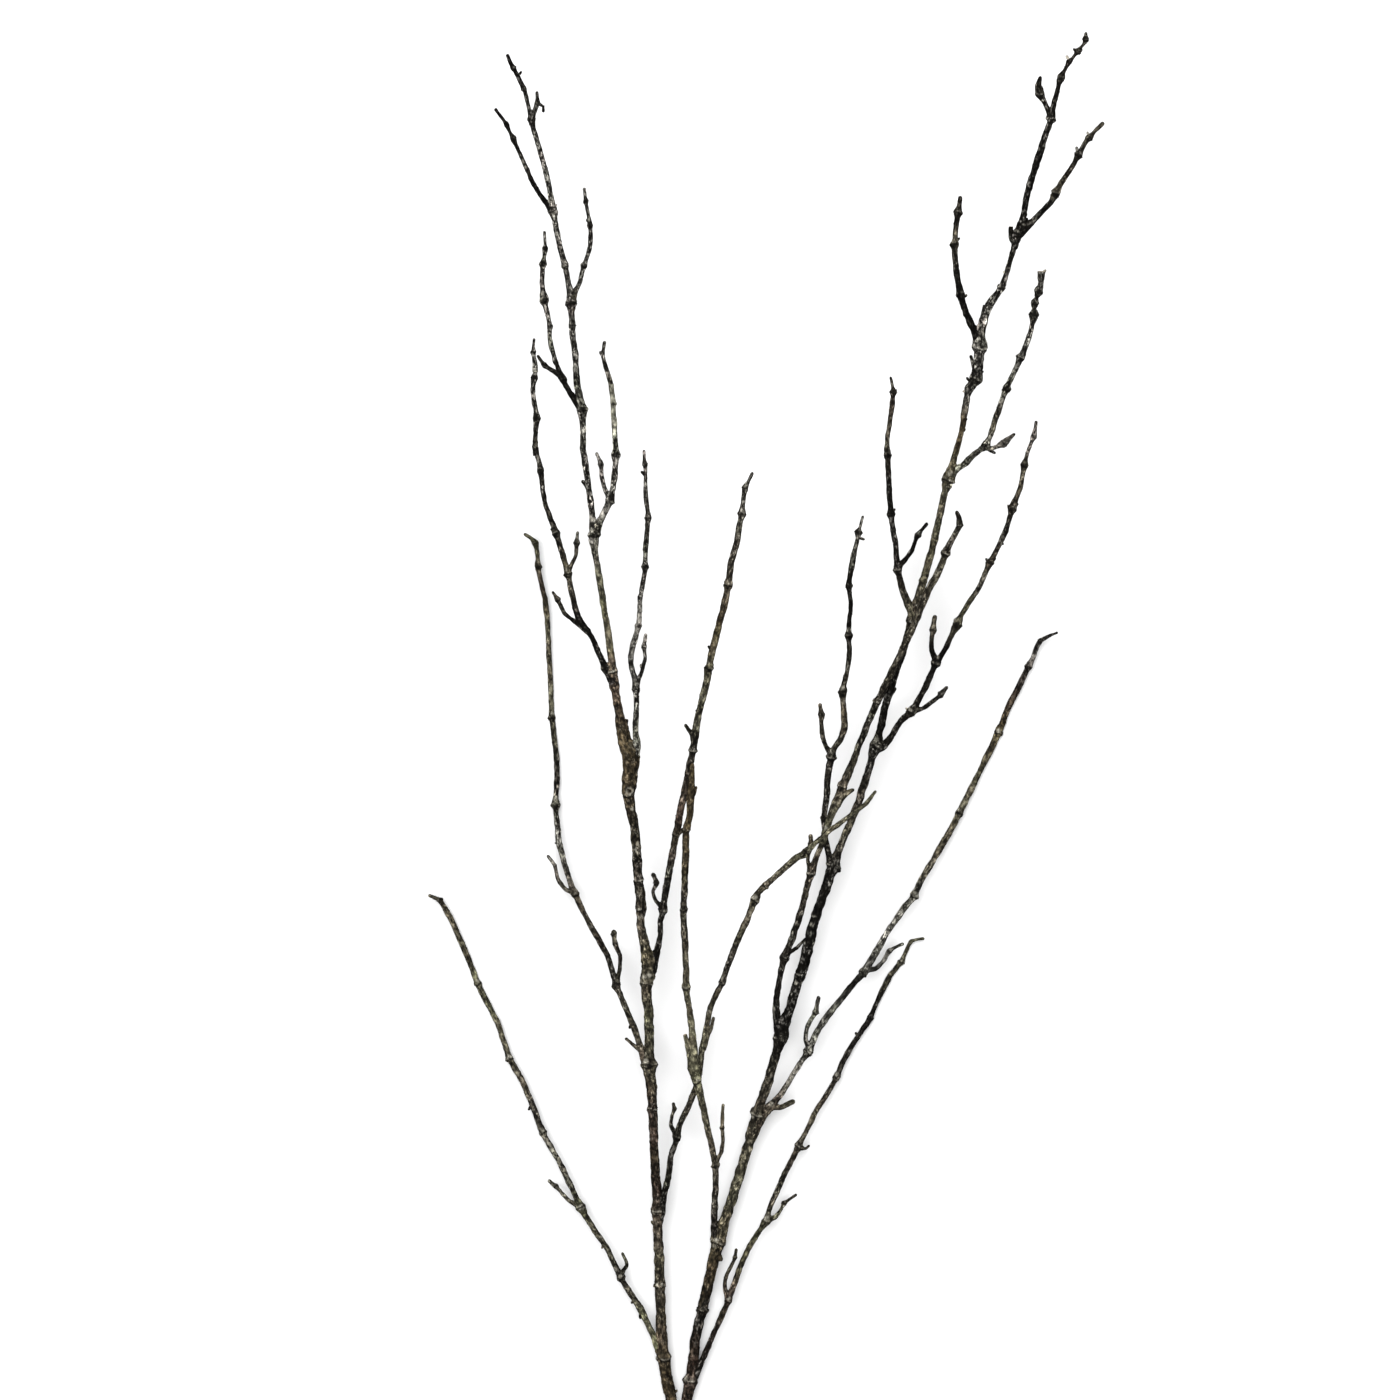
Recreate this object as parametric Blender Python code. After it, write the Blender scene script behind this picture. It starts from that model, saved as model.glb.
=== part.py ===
"""A long forked twig, bare of leaves, lying on a surface.

A short cut stem forks into two limbs. Each limb carries side branches, and each of those
carries a few short spurs. Every piece is a tapering tube that swells at its knots.

A route is read off the photograph by eye, from base to tip, and seen from straight above:
pixels right, pixels down, height above the surface in mm and thickness in mm, with KNOT
where the twig swells. All lengths that the code makes from it are in metres.
"""

from math import cos, pi, sin

import bmesh
import bpy
from mathutils import Vector

MM = 0.001

# Real width of the surface that the photograph spans, and how far above it the eye is.
VIEW_WIDTH = 1.12
EYE_HEIGHT = 3.11
VIEW_PIXELS = 1400
VIEW_CENTRE = 700

# From the middle of the photograph to the middle of the twig.
MIDDLE_X = 0.0472
MIDDLE_Y = -0.0734

LIMB_SIDES = 8
BRANCH_SIDES = 6
SPUR_SIDES = 4

# Two touching pieces are this far apart.
JOINT_GAP = 0.0003
# A knot is a little flatter above and below than across, where its buds sit.
KNOT_FLATNESS = 0.84
# How far a knot's swelling reaches, as shares of its thickness, plus a fixed length.
SWELL_BELOW = 0.75
SWELL_ABOVE = 0.45
SWELL_EXTRA = 0.0012
# A knot that is thicker than the twig beside it by less than this has no neck.
MILD_SWELLING = 0.0015
# It also needs this many times its reach of room, and is at most this share of the knot.
ROOM_TO_KNOT = 2.2
ROOM_TO_PLAIN = 1.6
NECK_MOST = 0.85
# A plain ring this close to the line between its neighbours is left out.
STRAIGHT_WITHIN = 0.0006
ALIKE_WITHIN = 0.0006
# The point of a bud or tip, as a share of its thickness.
POINT_LENGTH = 0.8
# The height wanders by this share of itself, and by no more than this in all.
WANDER_SHARE = 0.05
WANDER_MOST = 0.0022
GROUND_DEPTH = 0.02

KNOT = True

BLACK_BARK = (0.020, 0.017, 0.014)
BROWN_BARK = (0.060, 0.046, 0.035)
GREY_BARK = (0.085, 0.075, 0.060)
OLIVE_BARK = (0.100, 0.095, 0.065)

STEM_TRUNK = [
    (680, 1523, 5.3, 12.4), (679, 1500, 5.3, 12.2), (678, 1478, 5.6, 13.2, KNOT),
    (677, 1456, 6.6, 12.8), (674.5, 1430, 7.8, 10.6), (671.5, 1403, 9, 9.0),
]
STEM_ARM = [(679, 1470, 6.0, 9.0), (681, 1446, 7.0, 10.2), (684, 1424, 8.0, 9.6), (686.5, 1403, 9, 9.2)]

LEFT_LIMB = [
    (671.5, 1403, 9, 9.0), (667, 1380, 10.5, 9.2), (664, 1358, 12, 11.2, KNOT),
    (661, 1325, 15, 8.2), (660, 1286, 18, 8.8, KNOT), (659, 1255, 20.5, 7.4),
    (657, 1212, 24, 9.8, KNOT), (656, 1175, 27.5, 6.8), (654, 1145, 30.5, 6.4),
    (653, 1109, 34, 8.2, KNOT), (651, 1085, 36, 7.8), (650, 1065, 38, 12.0, KNOT),
    (649, 1025, 42, 6.8), (647, 997, 45, 7.6), (646, 984, 46, 10.6, KNOT),
    (648, 964, 47.6, 10.0), (645, 946, 49, 7.4), (641, 925, 51, 6.2), (641, 909, 52, 9.2, KNOT),
    (640, 893, 53.5, 7.2), (638, 880, 55, 8.6, KNOT), (637, 862, 56.5, 7.2),
    (634, 825, 60, 6.6), (629, 795, 62.5, 9.2, KNOT), (630, 778, 64, 11.6),
    (630, 757, 65.5, 13.0), (625, 743, 67, 11.0), (622, 727, 68.5, 9.6), (619, 714, 69.6, 6.2),
    (613, 672, 73, 6.6, KNOT), (606, 620, 77, 4.8), (600, 580, 80, 4.8), (595, 550, 82, 5.0),
    (594, 536, 83, 7.8, KNOT), (591, 505, 84, 4.6), (588, 480, 85, 4.8), (583, 450, 86, 4.6),
    (583, 425, 86.8, 5.0), (582, 410, 87, 6.6, KNOT), (577, 380, 88, 4.8), (575, 352, 88.6, 4.6),
    (572, 325, 89.5, 5.8, KNOT), (571, 303, 90, 7.6, KNOT), (565, 266, 92, 5.6, KNOT),
    (560, 248, 93, 4.0), (553, 211, 96, 5.8, KNOT), (549, 185, 98, 3.8), (543, 160, 100, 3.8),
    (531, 119, 103, 5.0, KNOT), (524, 89, 106, 4.2, KNOT), (518, 77, 107, 2.8),
    (513, 68, 108, 4.0, KNOT), (507, 54, 110, 2.2),
]
LEFT_LIMB_SPURS = [
    [(532, 121, 103, 3.4), (535, 109, 104.4, 2.8), (537, 103, 105.2, 4.2, KNOT), (537, 91, 107, 2.2)],
]

LEFT_BRANCH_1 = [
    (664, 1358, 12, 5.6), (656, 1342, 12.6, 4.8), (646, 1320, 13.2, 4.6), (640, 1308, 13.5, 5.6),
    (633, 1297, 13.8, 4.6), (621, 1278, 14, 5.8, KNOT), (608, 1250, 14, 4.4), (598, 1235, 13.8, 4.6),
    (586, 1217, 13.4, 4.6), (581, 1207, 13, 7.2, KNOT), (574, 1193, 12.6, 4.6),
    (557, 1157, 11.4, 4.6), (543, 1133, 10.5, 7.2, KNOT), (535, 1112, 9.6, 4.6),
    (520, 1077, 8.2, 5.0), (510, 1060, 7.4, 6.6, KNOT), (504, 1042, 6.4, 4.4), (497, 1022, 5.4, 4.4),
    (489, 1006, 4.2, 4.6), (478, 984, 2.4, 6.0, KNOT), (472, 968, 3.2, 4.4), (463, 946, 4.2, 4.6),
    (456, 930, 5, 4.8), (445, 908, 6.4, 4.2), (440, 901, 7, 4.6, KNOT), (428, 895, 8.2, 2.6),
]
LEFT_BRANCH_1_SPURS = [
    [(621, 1276, 14, 3.2), (627, 1265, 15.6, 2.2), (625, 1258, 16.6, 2.2), (622, 1252, 17.4, 1.8)],
    [
        (579, 1207, 12.8, 3.4), (570, 1201, 12.2, 2.8), (563, 1194, 11.6, 2.6),
        (556, 1187, 11, 3.8, KNOT), (548, 1180, 10.4, 2.0),
    ],
]

LEFT_BRANCH_2 = [
    (660, 1216, 23.8, 5.0), (662.5, 1202, 25.2, 5.6), (665, 1190, 26.4, 4.8), (668, 1177, 27.6, 4.6),
    (671, 1157, 29.6, 4.4), (677, 1137, 31.8, 6.2, KNOT), (681, 1122, 33.2, 4.4),
    (688, 1107, 34.6, 4.6), (694, 1092, 36, 4.6), (699, 1076, 37.4, 4.6), (702, 1050, 40, 4.8),
    (706, 1030, 42.4, 4.4), (710, 1009, 45, 4.6), (722, 983, 48.6, 6.6, KNOT), (728, 965, 50.8, 4.6),
    (736, 945, 53.2, 4.8), (748, 917, 56.4, 5.2), (754.5, 901, 58.2, 7.0, KNOT), (758, 893, 59.2, 5.0),
    (765, 886, 60.2, 5.4, KNOT), (788, 866, 62.6, 5.0), (797, 858, 63.6, 5.4),
    (806, 852.5, 64.4, 6.8, KNOT), (815, 843, 65.6, 3.8), (827, 833, 66.8, 3.8),
    (850, 816, 69, 3.6), (866, 803, 70.4, 3.4), (876.5, 791, 71.8, 2.2),
]
LEFT_BRANCH_2_SPURS = [
    [
        (676, 1136, 31.8, 3.4), (671, 1125, 33.6, 2.4), (672, 1115, 35.2, 2.4),
        (674, 1109, 36.2, 3.8, KNOT), (673, 1102, 37.4, 2.0),
    ],
    [(704, 1046, 40.6, 3.4), (708, 1035, 43, 2.6), (711, 1028, 45, 2.4), (714, 1017, 47.6, 1.8)],
]

LEFT_BRANCH_3 = [
    (647, 1066, 38, 5.6), (640.5, 1047, 36.6, 5.0), (632, 1023, 34.2, 4.8), (624, 1003, 32, 4.6),
    (616, 984, 30, 7.0, KNOT), (608, 957, 27.4, 4.4), (594, 931, 24, 4.6), (583, 911, 21.4, 4.6),
    (575, 895, 19.2, 6.6, KNOT), (567, 872, 16.6, 4.4), (559, 843, 13, 4.8), (557, 822, 10.6, 4.4),
    (556, 805, 8.6, 7.2, KNOT), (557, 780, 6.2, 4.4), (556, 750, 4.4, 4.4),
    (552, 718, 2.3, 5.8, KNOT), (551, 690, 3.0, 4.2), (549, 655, 4.6, 4.2), (547, 617, 6.8, 4.2),
    (543, 590, 8.6, 4.2), (538, 567, 10.2, 5.6, KNOT), (537, 553, 11.2, 3.8),
    (535, 542, 12, 4.4, KNOT), (524, 533, 13.6, 2.2),
]
LEFT_BRANCH_3_SPURS = [
    [
        (574, 893, 19.2, 3.4), (566, 890, 18.8, 2.6), (559, 881, 18, 2.6),
        (555, 866, 17, 3.4, KNOT), (547, 855, 16.4, 2.0),
    ],
    [
        (617, 982, 30.2, 3.4), (620, 968, 31.2, 2.6), (620, 956, 31.8, 2.6),
        (615.5, 945, 32.4, 5.2, KNOT), (614, 930, 33.2, 3.6),
    ],
    [(643, 1050, 37, 3.4), (637, 1048, 38.2, 2.4), (630, 1042, 39.4, 2.4), (625, 1038, 40, 1.8)],
]

LEFT_BRANCH_4 = [
    (651.5, 970, 47.3, 6.4), (656.5, 953, 48.6, 5.2), (660, 935, 50.8, 3.8), (660, 922, 52.2, 4.0),
    (663, 911, 53.6, 6.2, KNOT), (665, 895, 55.4, 5.0), (676, 835, 62.4, 6.4, KNOT),
    (680, 815, 64.8, 5.4), (688, 775, 69.4, 5.4), (693, 751, 72, 7.0, KNOT), (696, 730, 74.8, 5.4),
    (699, 712, 77.2, 5.2), (705, 690, 80.2, 5.4), (709, 668, 83, 7.8, KNOT), (713, 648, 85.4, 5.2),
    (719, 625, 88.4, 5.2), (728, 586, 93, 7.4, KNOT), (731, 563, 95.6, 4.8), (737, 540, 98.2, 4.6),
    (742, 514, 101, 6.2, KNOT), (745.5, 488, 103.4, 4.8, KNOT), (753, 472, 105.4, 2.4),
]
LEFT_BRANCH_4_SPURS = [
    [
        (662, 909, 53.8, 3.4), (656, 901, 54.6, 2.4), (653, 892, 55.4, 2.4),
        (656, 882, 56.6, 4.0, KNOT), (654, 874, 57.6, 2.0),
    ],
    [(693, 736, 74, 3.2), (689, 730, 74.6, 2.4), (685, 724, 75, 1.8)],
]

LEFT_BRANCH_5 = [
    (632, 760, 65.8, 6.0), (637, 747, 67, 6.4), (635.5, 735, 68.4, 4.6), (636, 715, 70.6, 4.4),
    (636, 690, 73.4, 6.6, KNOT), (634, 677, 74.8, 4.4), (631, 661, 76.6, 4.2), (633, 644, 78.6, 4.2),
    (638.5, 626, 80.8, 5.4, KNOT), (640.5, 597, 84.4, 4.4, KNOT), (645, 567, 88, 5.6, KNOT),
    (646, 545, 90.6, 3.8), (648, 518, 94, 5.8, KNOT), (646, 498, 96.4, 3.8),
    (645, 465, 100.4, 5.0, KNOT), (644, 450, 102.4, 2.2),
]
LEFT_BRANCH_5_SPURS = [
    [
        (636.5, 686, 74, 3.4), (642, 671, 76, 2.4), (645, 658, 78, 2.4),
        (644, 647, 80, 4.0, KNOT), (646, 633, 82, 2.0),
    ],
]

LEFT_BRANCH_6 = [
    (612.5, 682, 73, 5.2), (605.5, 668, 72.8, 7.8, KNOT), (598, 652, 71.8, 4.6), (590, 634, 70.6, 4.4),
    (580, 621, 69.6, 4.6), (575, 607, 68.6, 4.6), (568, 575, 66.8, 6.4, KNOT), (563, 556, 65.8, 4.2),
    (556, 534, 64.6, 6.2, KNOT), (545, 502, 62.8, 4.0), (542, 485, 62, 4.0),
    (541, 471, 61.4, 5.6, KNOT), (535.5, 449, 60.4, 5.6, KNOT), (536, 432, 60, 4.0),
    (537, 419, 59.8, 5.6, KNOT), (533, 391, 59.8, 3.8), (534.5, 378, 60.2, 5.4, KNOT),
    (535, 365, 60.6, 3.6), (533, 352, 61.2, 4.8, KNOT), (534, 338, 62, 2.2),
]
LEFT_BRANCH_6_SPURS = [
    [
        (586, 630, 70, 3.2), (574, 621, 68.6, 3.0), (565, 613.5, 67.6, 2.8),
        (558, 600, 66.6, 3.8, KNOT), (552, 591, 65.8, 2.0),
    ],
    [
        (568, 574, 67, 3.4), (572, 564, 68.2, 2.6), (576, 555, 69.4, 2.6),
        (577, 543, 71, 5.0, KNOT), (578, 531, 72.6, 2.0),
    ],
]

LEFT_BRANCH_7 = [
    (594, 538, 83, 5.2), (599, 525, 84.6, 4.6), (605, 511, 86.4, 4.4), (610, 501, 87.6, 5.8, KNOT),
    (613, 487, 89.2, 4.0), (615, 468, 91.6, 4.0), (616, 455, 93.2, 5.8, KNOT), (615, 438, 95.4, 3.8),
    (613, 404, 99.8, 4.6, KNOT), (611, 385, 102, 3.4), (603, 353, 106, 4.2, KNOT),
    (605, 341, 107.6, 2.0),
]
LEFT_BRANCH_7_SPURS = [
    [
        (609, 499, 87.6, 3.4), (605, 489, 87.2, 3.0), (602, 477, 86.6, 2.8),
        (601, 464, 86, 4.2, KNOT), (596, 452, 85.4, 2.0),
    ],
]

LEFT_BRANCH_8 = [
    (582, 410, 87, 5.2), (575, 401, 86.2, 4.4), (563, 380, 84.6, 5.0, KNOT), (553, 353, 83, 3.8),
    (550, 338, 82.6, 3.6), (550, 326, 82.2, 4.6, KNOT), (544, 301, 81.8, 7.2, KNOT),
    (542, 284, 82, 4.0), (543, 264, 82.6, 5.4, KNOT), (545, 248, 83.2, 4.2, KNOT),
    (544, 231, 84, 2.2),
]
LEFT_BRANCH_8_SPURS = [
    [
        (563, 379, 84.6, 3.4), (554, 372, 83.2, 3.0), (544, 365, 81.6, 4.0, KNOT),
        (537, 355, 80.2, 2.0),
    ],
]

LEFT_BRANCH_9 = [
    (571, 304, 90, 4.8), (580, 281, 93.2, 3.6), (584, 266, 95.4, 5.0, KNOT), (589, 250, 98, 3.4),
    (591, 237, 100.2, 3.4), (590, 226, 101.8, 4.4, KNOT), (586, 202, 105.4, 4.2, KNOT),
    (584, 188, 107.4, 2.2),
]

LEFT_BRANCH_10 = [
    (553, 212, 96, 4.4), (544, 200, 94.6, 3.6), (536, 188, 93.2, 3.6), (527, 170, 91.2, 4.0, KNOT),
    (520, 153, 89.4, 3.2), (513, 138, 87.8, 5.0, KNOT), (506, 124, 86.2, 4.8, KNOT),
    (495, 108, 84.4, 2.2),
]

RIGHT_LIMB = [
    (686.5, 1403, 9, 9.2), (690, 1381, 10.5, 11.2, KNOT), (693, 1360, 11.6, 8.8),
    (695, 1340, 12.4, 8.2), (702.5, 1310, 13.2, 9.2, KNOT), (710, 1275, 14.3, 8.8),
    (718, 1243, 15.5, 12.4, KNOT), (721, 1229, 16.2, 10.6), (726, 1216, 16.8, 8.0),
    (737, 1184, 18.4, 9.0), (744, 1160, 19.5, 8.4), (753.5, 1128, 21.3, 8.4),
    (757, 1114, 22, 11.6, KNOT), (762.5, 1099, 23.1, 7.6), (768, 1082, 24.3, 8.0),
    (776, 1054, 26.5, 7.2), (780, 1040, 27.5, 10.4, KNOT), (784.5, 1023, 28.5, 9.8),
    (790, 1008, 29.2, 7.4), (797, 985, 30.5, 8.2), (800.5, 975, 31, 9.8, KNOT),
    (808.5, 945, 32.8, 9.2), (815.5, 917, 34.3, 8.6, KNOT), (823, 897, 35.4, 7.4),
    (829, 878, 36.4, 8.4), (833, 866, 37, 10.8, KNOT), (838, 852, 38, 6.2), (848.5, 827, 40, 6.4),
    (859.5, 800, 42, 6.2), (870, 765, 44, 6.2), (876, 747, 45, 9.8, KNOT), (879, 734, 46, 6.2),
    (886.5, 703, 48.5, 6.4), (895.5, 673, 50.5, 6.4), (904.5, 647, 52.6, 6.4),
    (911.5, 622, 54.3, 9.0, KNOT), (924.5, 576, 58.6, 6.6), (934.5, 539, 61.8, 6.2),
    (943, 502, 65.2, 5.8), (947.5, 481, 67, 9.8, KNOT), (955, 456, 70.4, 5.4),
    (962, 430, 73.4, 5.0), (964, 418, 74.7, 6.0), (967, 396, 77.3, 5.4), (969, 389, 78.1, 7.6),
    (975, 380, 79, 9.2, KNOT), (975.5, 368, 80.6, 8.0), (980, 348, 83, 11.2, KNOT),
    (980.5, 337, 84.5, 7.0), (985, 315, 87.8, 7.2), (990, 304, 89.6, 6.4),
    (1001, 288, 92.4, 6.8, KNOT), (1008.5, 267, 96, 4.2), (1012.5, 254, 98.4, 4.4),
    (1017.5, 233, 102.4, 8.4, KNOT), (1021.5, 224, 104, 7.2), (1024.5, 211, 106.2, 5.0),
    (1026.5, 197, 108.8, 5.0), (1036, 165, 114.6, 5.8), (1046, 133, 120, 5.2),
    (1050.5, 120, 122, 7.8, KNOT), (1057.5, 89, 127.6, 4.0), (1061.5, 77, 130, 6.2, KNOT),
    (1069.5, 62, 133, 5.0, KNOT), (1078, 51.5, 135.2, 5.8, KNOT), (1085.5, 40, 137.2, 5.4, KNOT),
    (1086, 32, 138, 2.0),
]
RIGHT_LIMB_SPURS = [
    [
        (1050, 117, 122.6, 3.6), (1045.5, 104, 124, 3.2), (1040, 94, 125.4, 6.6, KNOT),
        (1038.5, 86, 127, 4.6), (1041, 76, 128.6, 2.0),
    ],
    [(1017, 241, 102, 4.2), (1012.2, 237, 102.6, 3.8), (1012, 226, 103.4, 3.2)],
    [(715, 1251, 15.4, 4.0), (719, 1256, 15.8, 3.0), (722, 1261, 16.2, 2.2)],
    [(833, 869, 36.8, 4.0), (841, 871, 37, 1.8)],
]

RIGHT_BRANCH_1 = [
    (691, 1382, 10.5, 5.6), (699, 1368, 11, 4.8), (706, 1352, 11.8, 4.8), (714, 1333, 12.8, 4.8),
    (728, 1301, 14.2, 6.0, KNOT), (740, 1267, 15, 4.6), (752, 1243, 15.4, 4.8),
    (759, 1231, 15.4, 4.4), (766, 1222, 15.4, 7.2, KNOT), (769, 1210, 15.2, 4.4),
    (782, 1180, 14.4, 4.8), (798.5, 1146, 13, 6.4, KNOT), (805, 1134, 12.2, 4.2),
    (814, 1115, 11.2, 4.4), (836, 1078, 8.8, 6.8, KNOT), (842, 1064, 8, 4.4), (849, 1050, 7.2, 4.8),
    (870.5, 1017, 5, 6.6, KNOT), (876, 1004, 4.4, 4.0), (882, 991, 3.8, 4.8), (890, 976, 3.2, 4.8),
    (900.5, 962, 2.1, 5.4, KNOT), (907, 950, 3.0, 3.2), (910.5, 942, 3.8, 4.0, KNOT),
    (924.5, 938.5, 5, 2.2),
]
RIGHT_BRANCH_1_SPURS = [
    [
        (728, 1300, 14.4, 3.4), (725, 1289, 15.6, 3.0), (725, 1280, 16.4, 2.6),
        (729, 1270, 17.4, 2.6), (735, 1258, 18.4, 3.2, KNOT), (736, 1248, 19, 2.0),
    ],
    [
        (766, 1221, 15.4, 3.6), (775, 1217, 15, 3.2), (780, 1211, 14.4, 2.4),
        (784, 1204, 13.8, 4.2, KNOT), (797, 1194, 13, 1.8),
    ],
    [(799, 1147, 13, 3.4), (805, 1148.5, 13, 2.0), (810, 1145, 13.2, 1.6)],
]

RIGHT_BRANCH_2 = [
    (718, 1243, 15.4, 6.4), (714, 1225, 18.6, 5.2), (714.5, 1205, 22.4, 5.0),
    (715.5, 1185, 26.4, 4.4), (715.5, 1166, 30.2, 6.0, KNOT), (712, 1147, 34, 4.6),
    (708, 1130, 37.6, 4.4), (697.5, 1082, 46.6, 7.2, KNOT), (693.5, 1069, 48.8, 9.4),
    (691.5, 1049, 51.2, 8.8), (692.8, 1040, 52.2, 5.4), (689.2, 1010, 54.8, 4.4),
    (686, 988, 56.4, 6.2, KNOT), (686, 970, 57.6, 4.4), (685, 945, 59.2, 4.4),
    (683, 909, 61.4, 6.2, KNOT), (684, 888, 62.8, 4.2), (685.5, 860, 64.8, 4.2),
    (686, 830, 67.2, 5.4, KNOT), (690, 797, 70.4, 3.8), (691.8, 785, 72, 3.4), (692.5, 768, 74.4, 2.0),
]
RIGHT_BRANCH_2_SPURS = [
    [(689.5, 1054, 50.6, 4.2), (687.5, 1044, 52.4, 3.4), (684.8, 1035, 54.2, 2.4)],
    [
        (716, 1164, 30.4, 3.4), (721, 1153, 31.8, 2.6), (723, 1141, 33.4, 2.6),
        (722, 1128, 35.4, 3.6, KNOT), (723, 1104, 39, 2.0),
    ],
    [(690.5, 798, 70.4, 3.0), (694, 793, 70.2, 2.6), (696.5, 786, 70.2, 1.8)],
]

RIGHT_BRANCH_3 = [
    (753, 1132, 21.2, 6.4), (759.5, 1120, 22, 8.0), (767, 1110.5, 23, 7.2), (774.5, 1102, 23.7, 5.8),
    (781, 1094, 24.4, 4.8),
    (800, 1064, 25.4, 4.4), (808.5, 1052, 25.6, 7.2, KNOT), (814, 1038, 25.6, 5.4),
    (822, 1024, 25.2, 5.4), (831, 1011, 24.6, 5.4), (842, 998, 23.8, 5.2), (854, 983, 22.8, 4.8),
    (862, 974, 22, 7.2, KNOT), (870, 962, 21, 5.8), (886, 934, 18.6, 4.8), (904, 909, 16.2, 5.2),
    (914, 896, 15, 7.4, KNOT), (920, 883, 14, 4.8), (944, 842, 10.6, 5.4), (959, 814, 8.6, 7.2, KNOT),
    (971, 789, 6.8, 5.0), (980, 771, 5.6, 4.6), (988, 755, 4.6, 5.4), (998, 733.5, 2.9, 7.4, KNOT),
    (1002, 724, 3.6, 4.8), (1009, 707, 4.2, 5.2), (1023, 678, 5.6, 5.0),
    (1028, 667, 6, 7.2, KNOT), (1033, 658, 6.8, 4.4), (1040, 641, 8.6, 4.4, KNOT),
    (1047, 637, 9.8, 3.0), (1058, 632.5, 11.4, 1.8),
]
RIGHT_BRANCH_3_SPURS = [
    [(769, 1107, 23.2, 4.4), (780, 1107.5, 23, 4.0), (787, 1104.5, 22.6, 3.8), (795, 1100.5, 22.2, 3.4)],
    [
        (809, 1050, 26, 3.6), (805.5, 1040, 28, 2.8), (806.5, 1029, 29.6, 2.8),
        (815, 1012.5, 32, 4.8, KNOT), (818.5, 996, 34, 3.0),
    ],
    [
        (864, 971, 21.6, 3.6), (875, 969, 20.6, 3.0), (883, 962, 19.6, 2.6),
        (890, 951, 18.6, 4.0, KNOT), (904, 943, 17.6, 2.0),
    ],
]

RIGHT_BRANCH_4 = [
    (782, 1038, 27.6, 6.0), (778.5, 1026, 28.4, 6.8), (776, 1012, 29.4, 6.0), (776.5, 998, 30.6, 5.0),
    (778.5, 984, 32, 4.8),
    (784, 958, 35, 7.4, KNOT), (793, 936, 37.8, 5.8), (798, 922, 39.4, 5.4), (808, 884, 43.4, 5.2),
    (811, 873.5, 44.6, 7.0, KNOT), (819, 851, 47.2, 4.8), (823, 842, 48.2, 5.8),
    (826, 830, 49.4, 6.2), (831, 816, 51, 6.0), (836, 804, 52.2, 7.2),
    (842.5, 787, 54.4, 7.4, KNOT), (853.5, 760, 57.4, 5.6), (866, 728, 60.8, 5.6),
    (877, 703, 63.4, 6.6, KNOT), (891, 674, 66, 5.6), (904.5, 645, 68.8, 5.6), (917, 618, 71.8, 5.4),
    (928.5, 590, 74.4, 5.6), (935.5, 577, 75.6, 5.4), (945.5, 553.5, 77.8, 7.8, KNOT),
    (950, 543, 78.8, 4.8), (959.5, 525, 80.8, 5.6, KNOT), (959, 518, 81.6, 4.4),
    (956, 510.5, 82.4, 3.0),
]
RIGHT_BRANCH_4_SPURS = [
    [(785, 957, 35, 3.4), (789, 953, 32.4, 2.6), (796, 948, 26.4, 2.4), (806, 938, 21.4, 2.0)],
    [
        (810, 872, 44.8, 3.4), (807.5, 860, 46.5, 2.4), (809, 852, 48.2, 2.6),
        (811, 844, 50, 4.4, KNOT), (810.5, 834, 52, 3.2),
    ],
    [(838, 803, 52.4, 4.4), (846, 794, 53, 3.8), (854, 789, 53.6, 3.0)],
]

RIGHT_BRANCH_5 = [
    (833, 868, 37, 6.0), (829, 857, 37.4, 4.4), (826.5, 845, 38, 4.6), (825, 831, 39, 4.4),
    (824, 819, 39.8, 5.6, KNOT), (826.5, 800, 41, 4.8), (829.5, 766, 43.6, 5.4),
    (831.5, 758, 44.2, 7.6, KNOT), (834, 749, 45, 4.8), (841, 739, 45.8, 4.6),
    (844.5, 727, 46.8, 4.8), (844, 714, 48, 4.6), (842.5, 692, 50, 7.6, KNOT), (848.5, 664, 52.4, 3.8),
    (849.5, 650, 53.6, 4.0), (848.5, 635, 55, 7.0, KNOT), (850.5, 603, 58.2, 3.6),
    (849, 586, 60, 6.4, KNOT), (853, 560, 62.8, 4.4), (859, 532, 66, 6.4, KNOT),
    (863.5, 515, 68, 2.0),
]
RIGHT_BRANCH_5_SPURS = [
    [
        (831, 756, 44.4, 3.6), (826, 746, 44.2, 3.2), (822.5, 734, 44, 3.0), (821, 724, 43.8, 3.2),
        (821.5, 715, 43.6, 5.2, KNOT), (819.5, 703, 43.4, 2.4),
    ],
]

RIGHT_BRANCH_6 = [
    (875, 749, 45, 6.4), (883, 746.5, 45.6, 6.0), (889, 740, 46.2, 5.6), (900, 722, 47.8, 4.8),
    (910.5, 712, 49, 7.6, KNOT), (916, 705, 49.8, 5.4), (921, 695, 50.8, 5.2), (928, 682, 52.2, 5.2),
    (936, 664, 54.2, 7.8, KNOT), (946, 648, 56.2, 4.4), (951.5, 636, 57.8, 4.6),
    (956.5, 625, 59.2, 8.0, KNOT), (961, 615, 60.4, 4.4), (975, 594, 63.2, 4.4),
    (982, 581, 64.8, 4.2), (990.5, 562, 67.2, 7.4, KNOT), (1001, 542, 70, 4.6),
    (1006.5, 529, 71.6, 4.4), (1012, 509, 74.4, 7.8, KNOT), (1020, 488, 77.4, 4.2),
    (1024.5, 465, 80.6, 6.6, KNOT), (1028, 451, 82.6, 3.4), (1033.5, 436.5, 84.8, 5.2, KNOT),
    (1036.5, 421, 87, 2.8),
]
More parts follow.
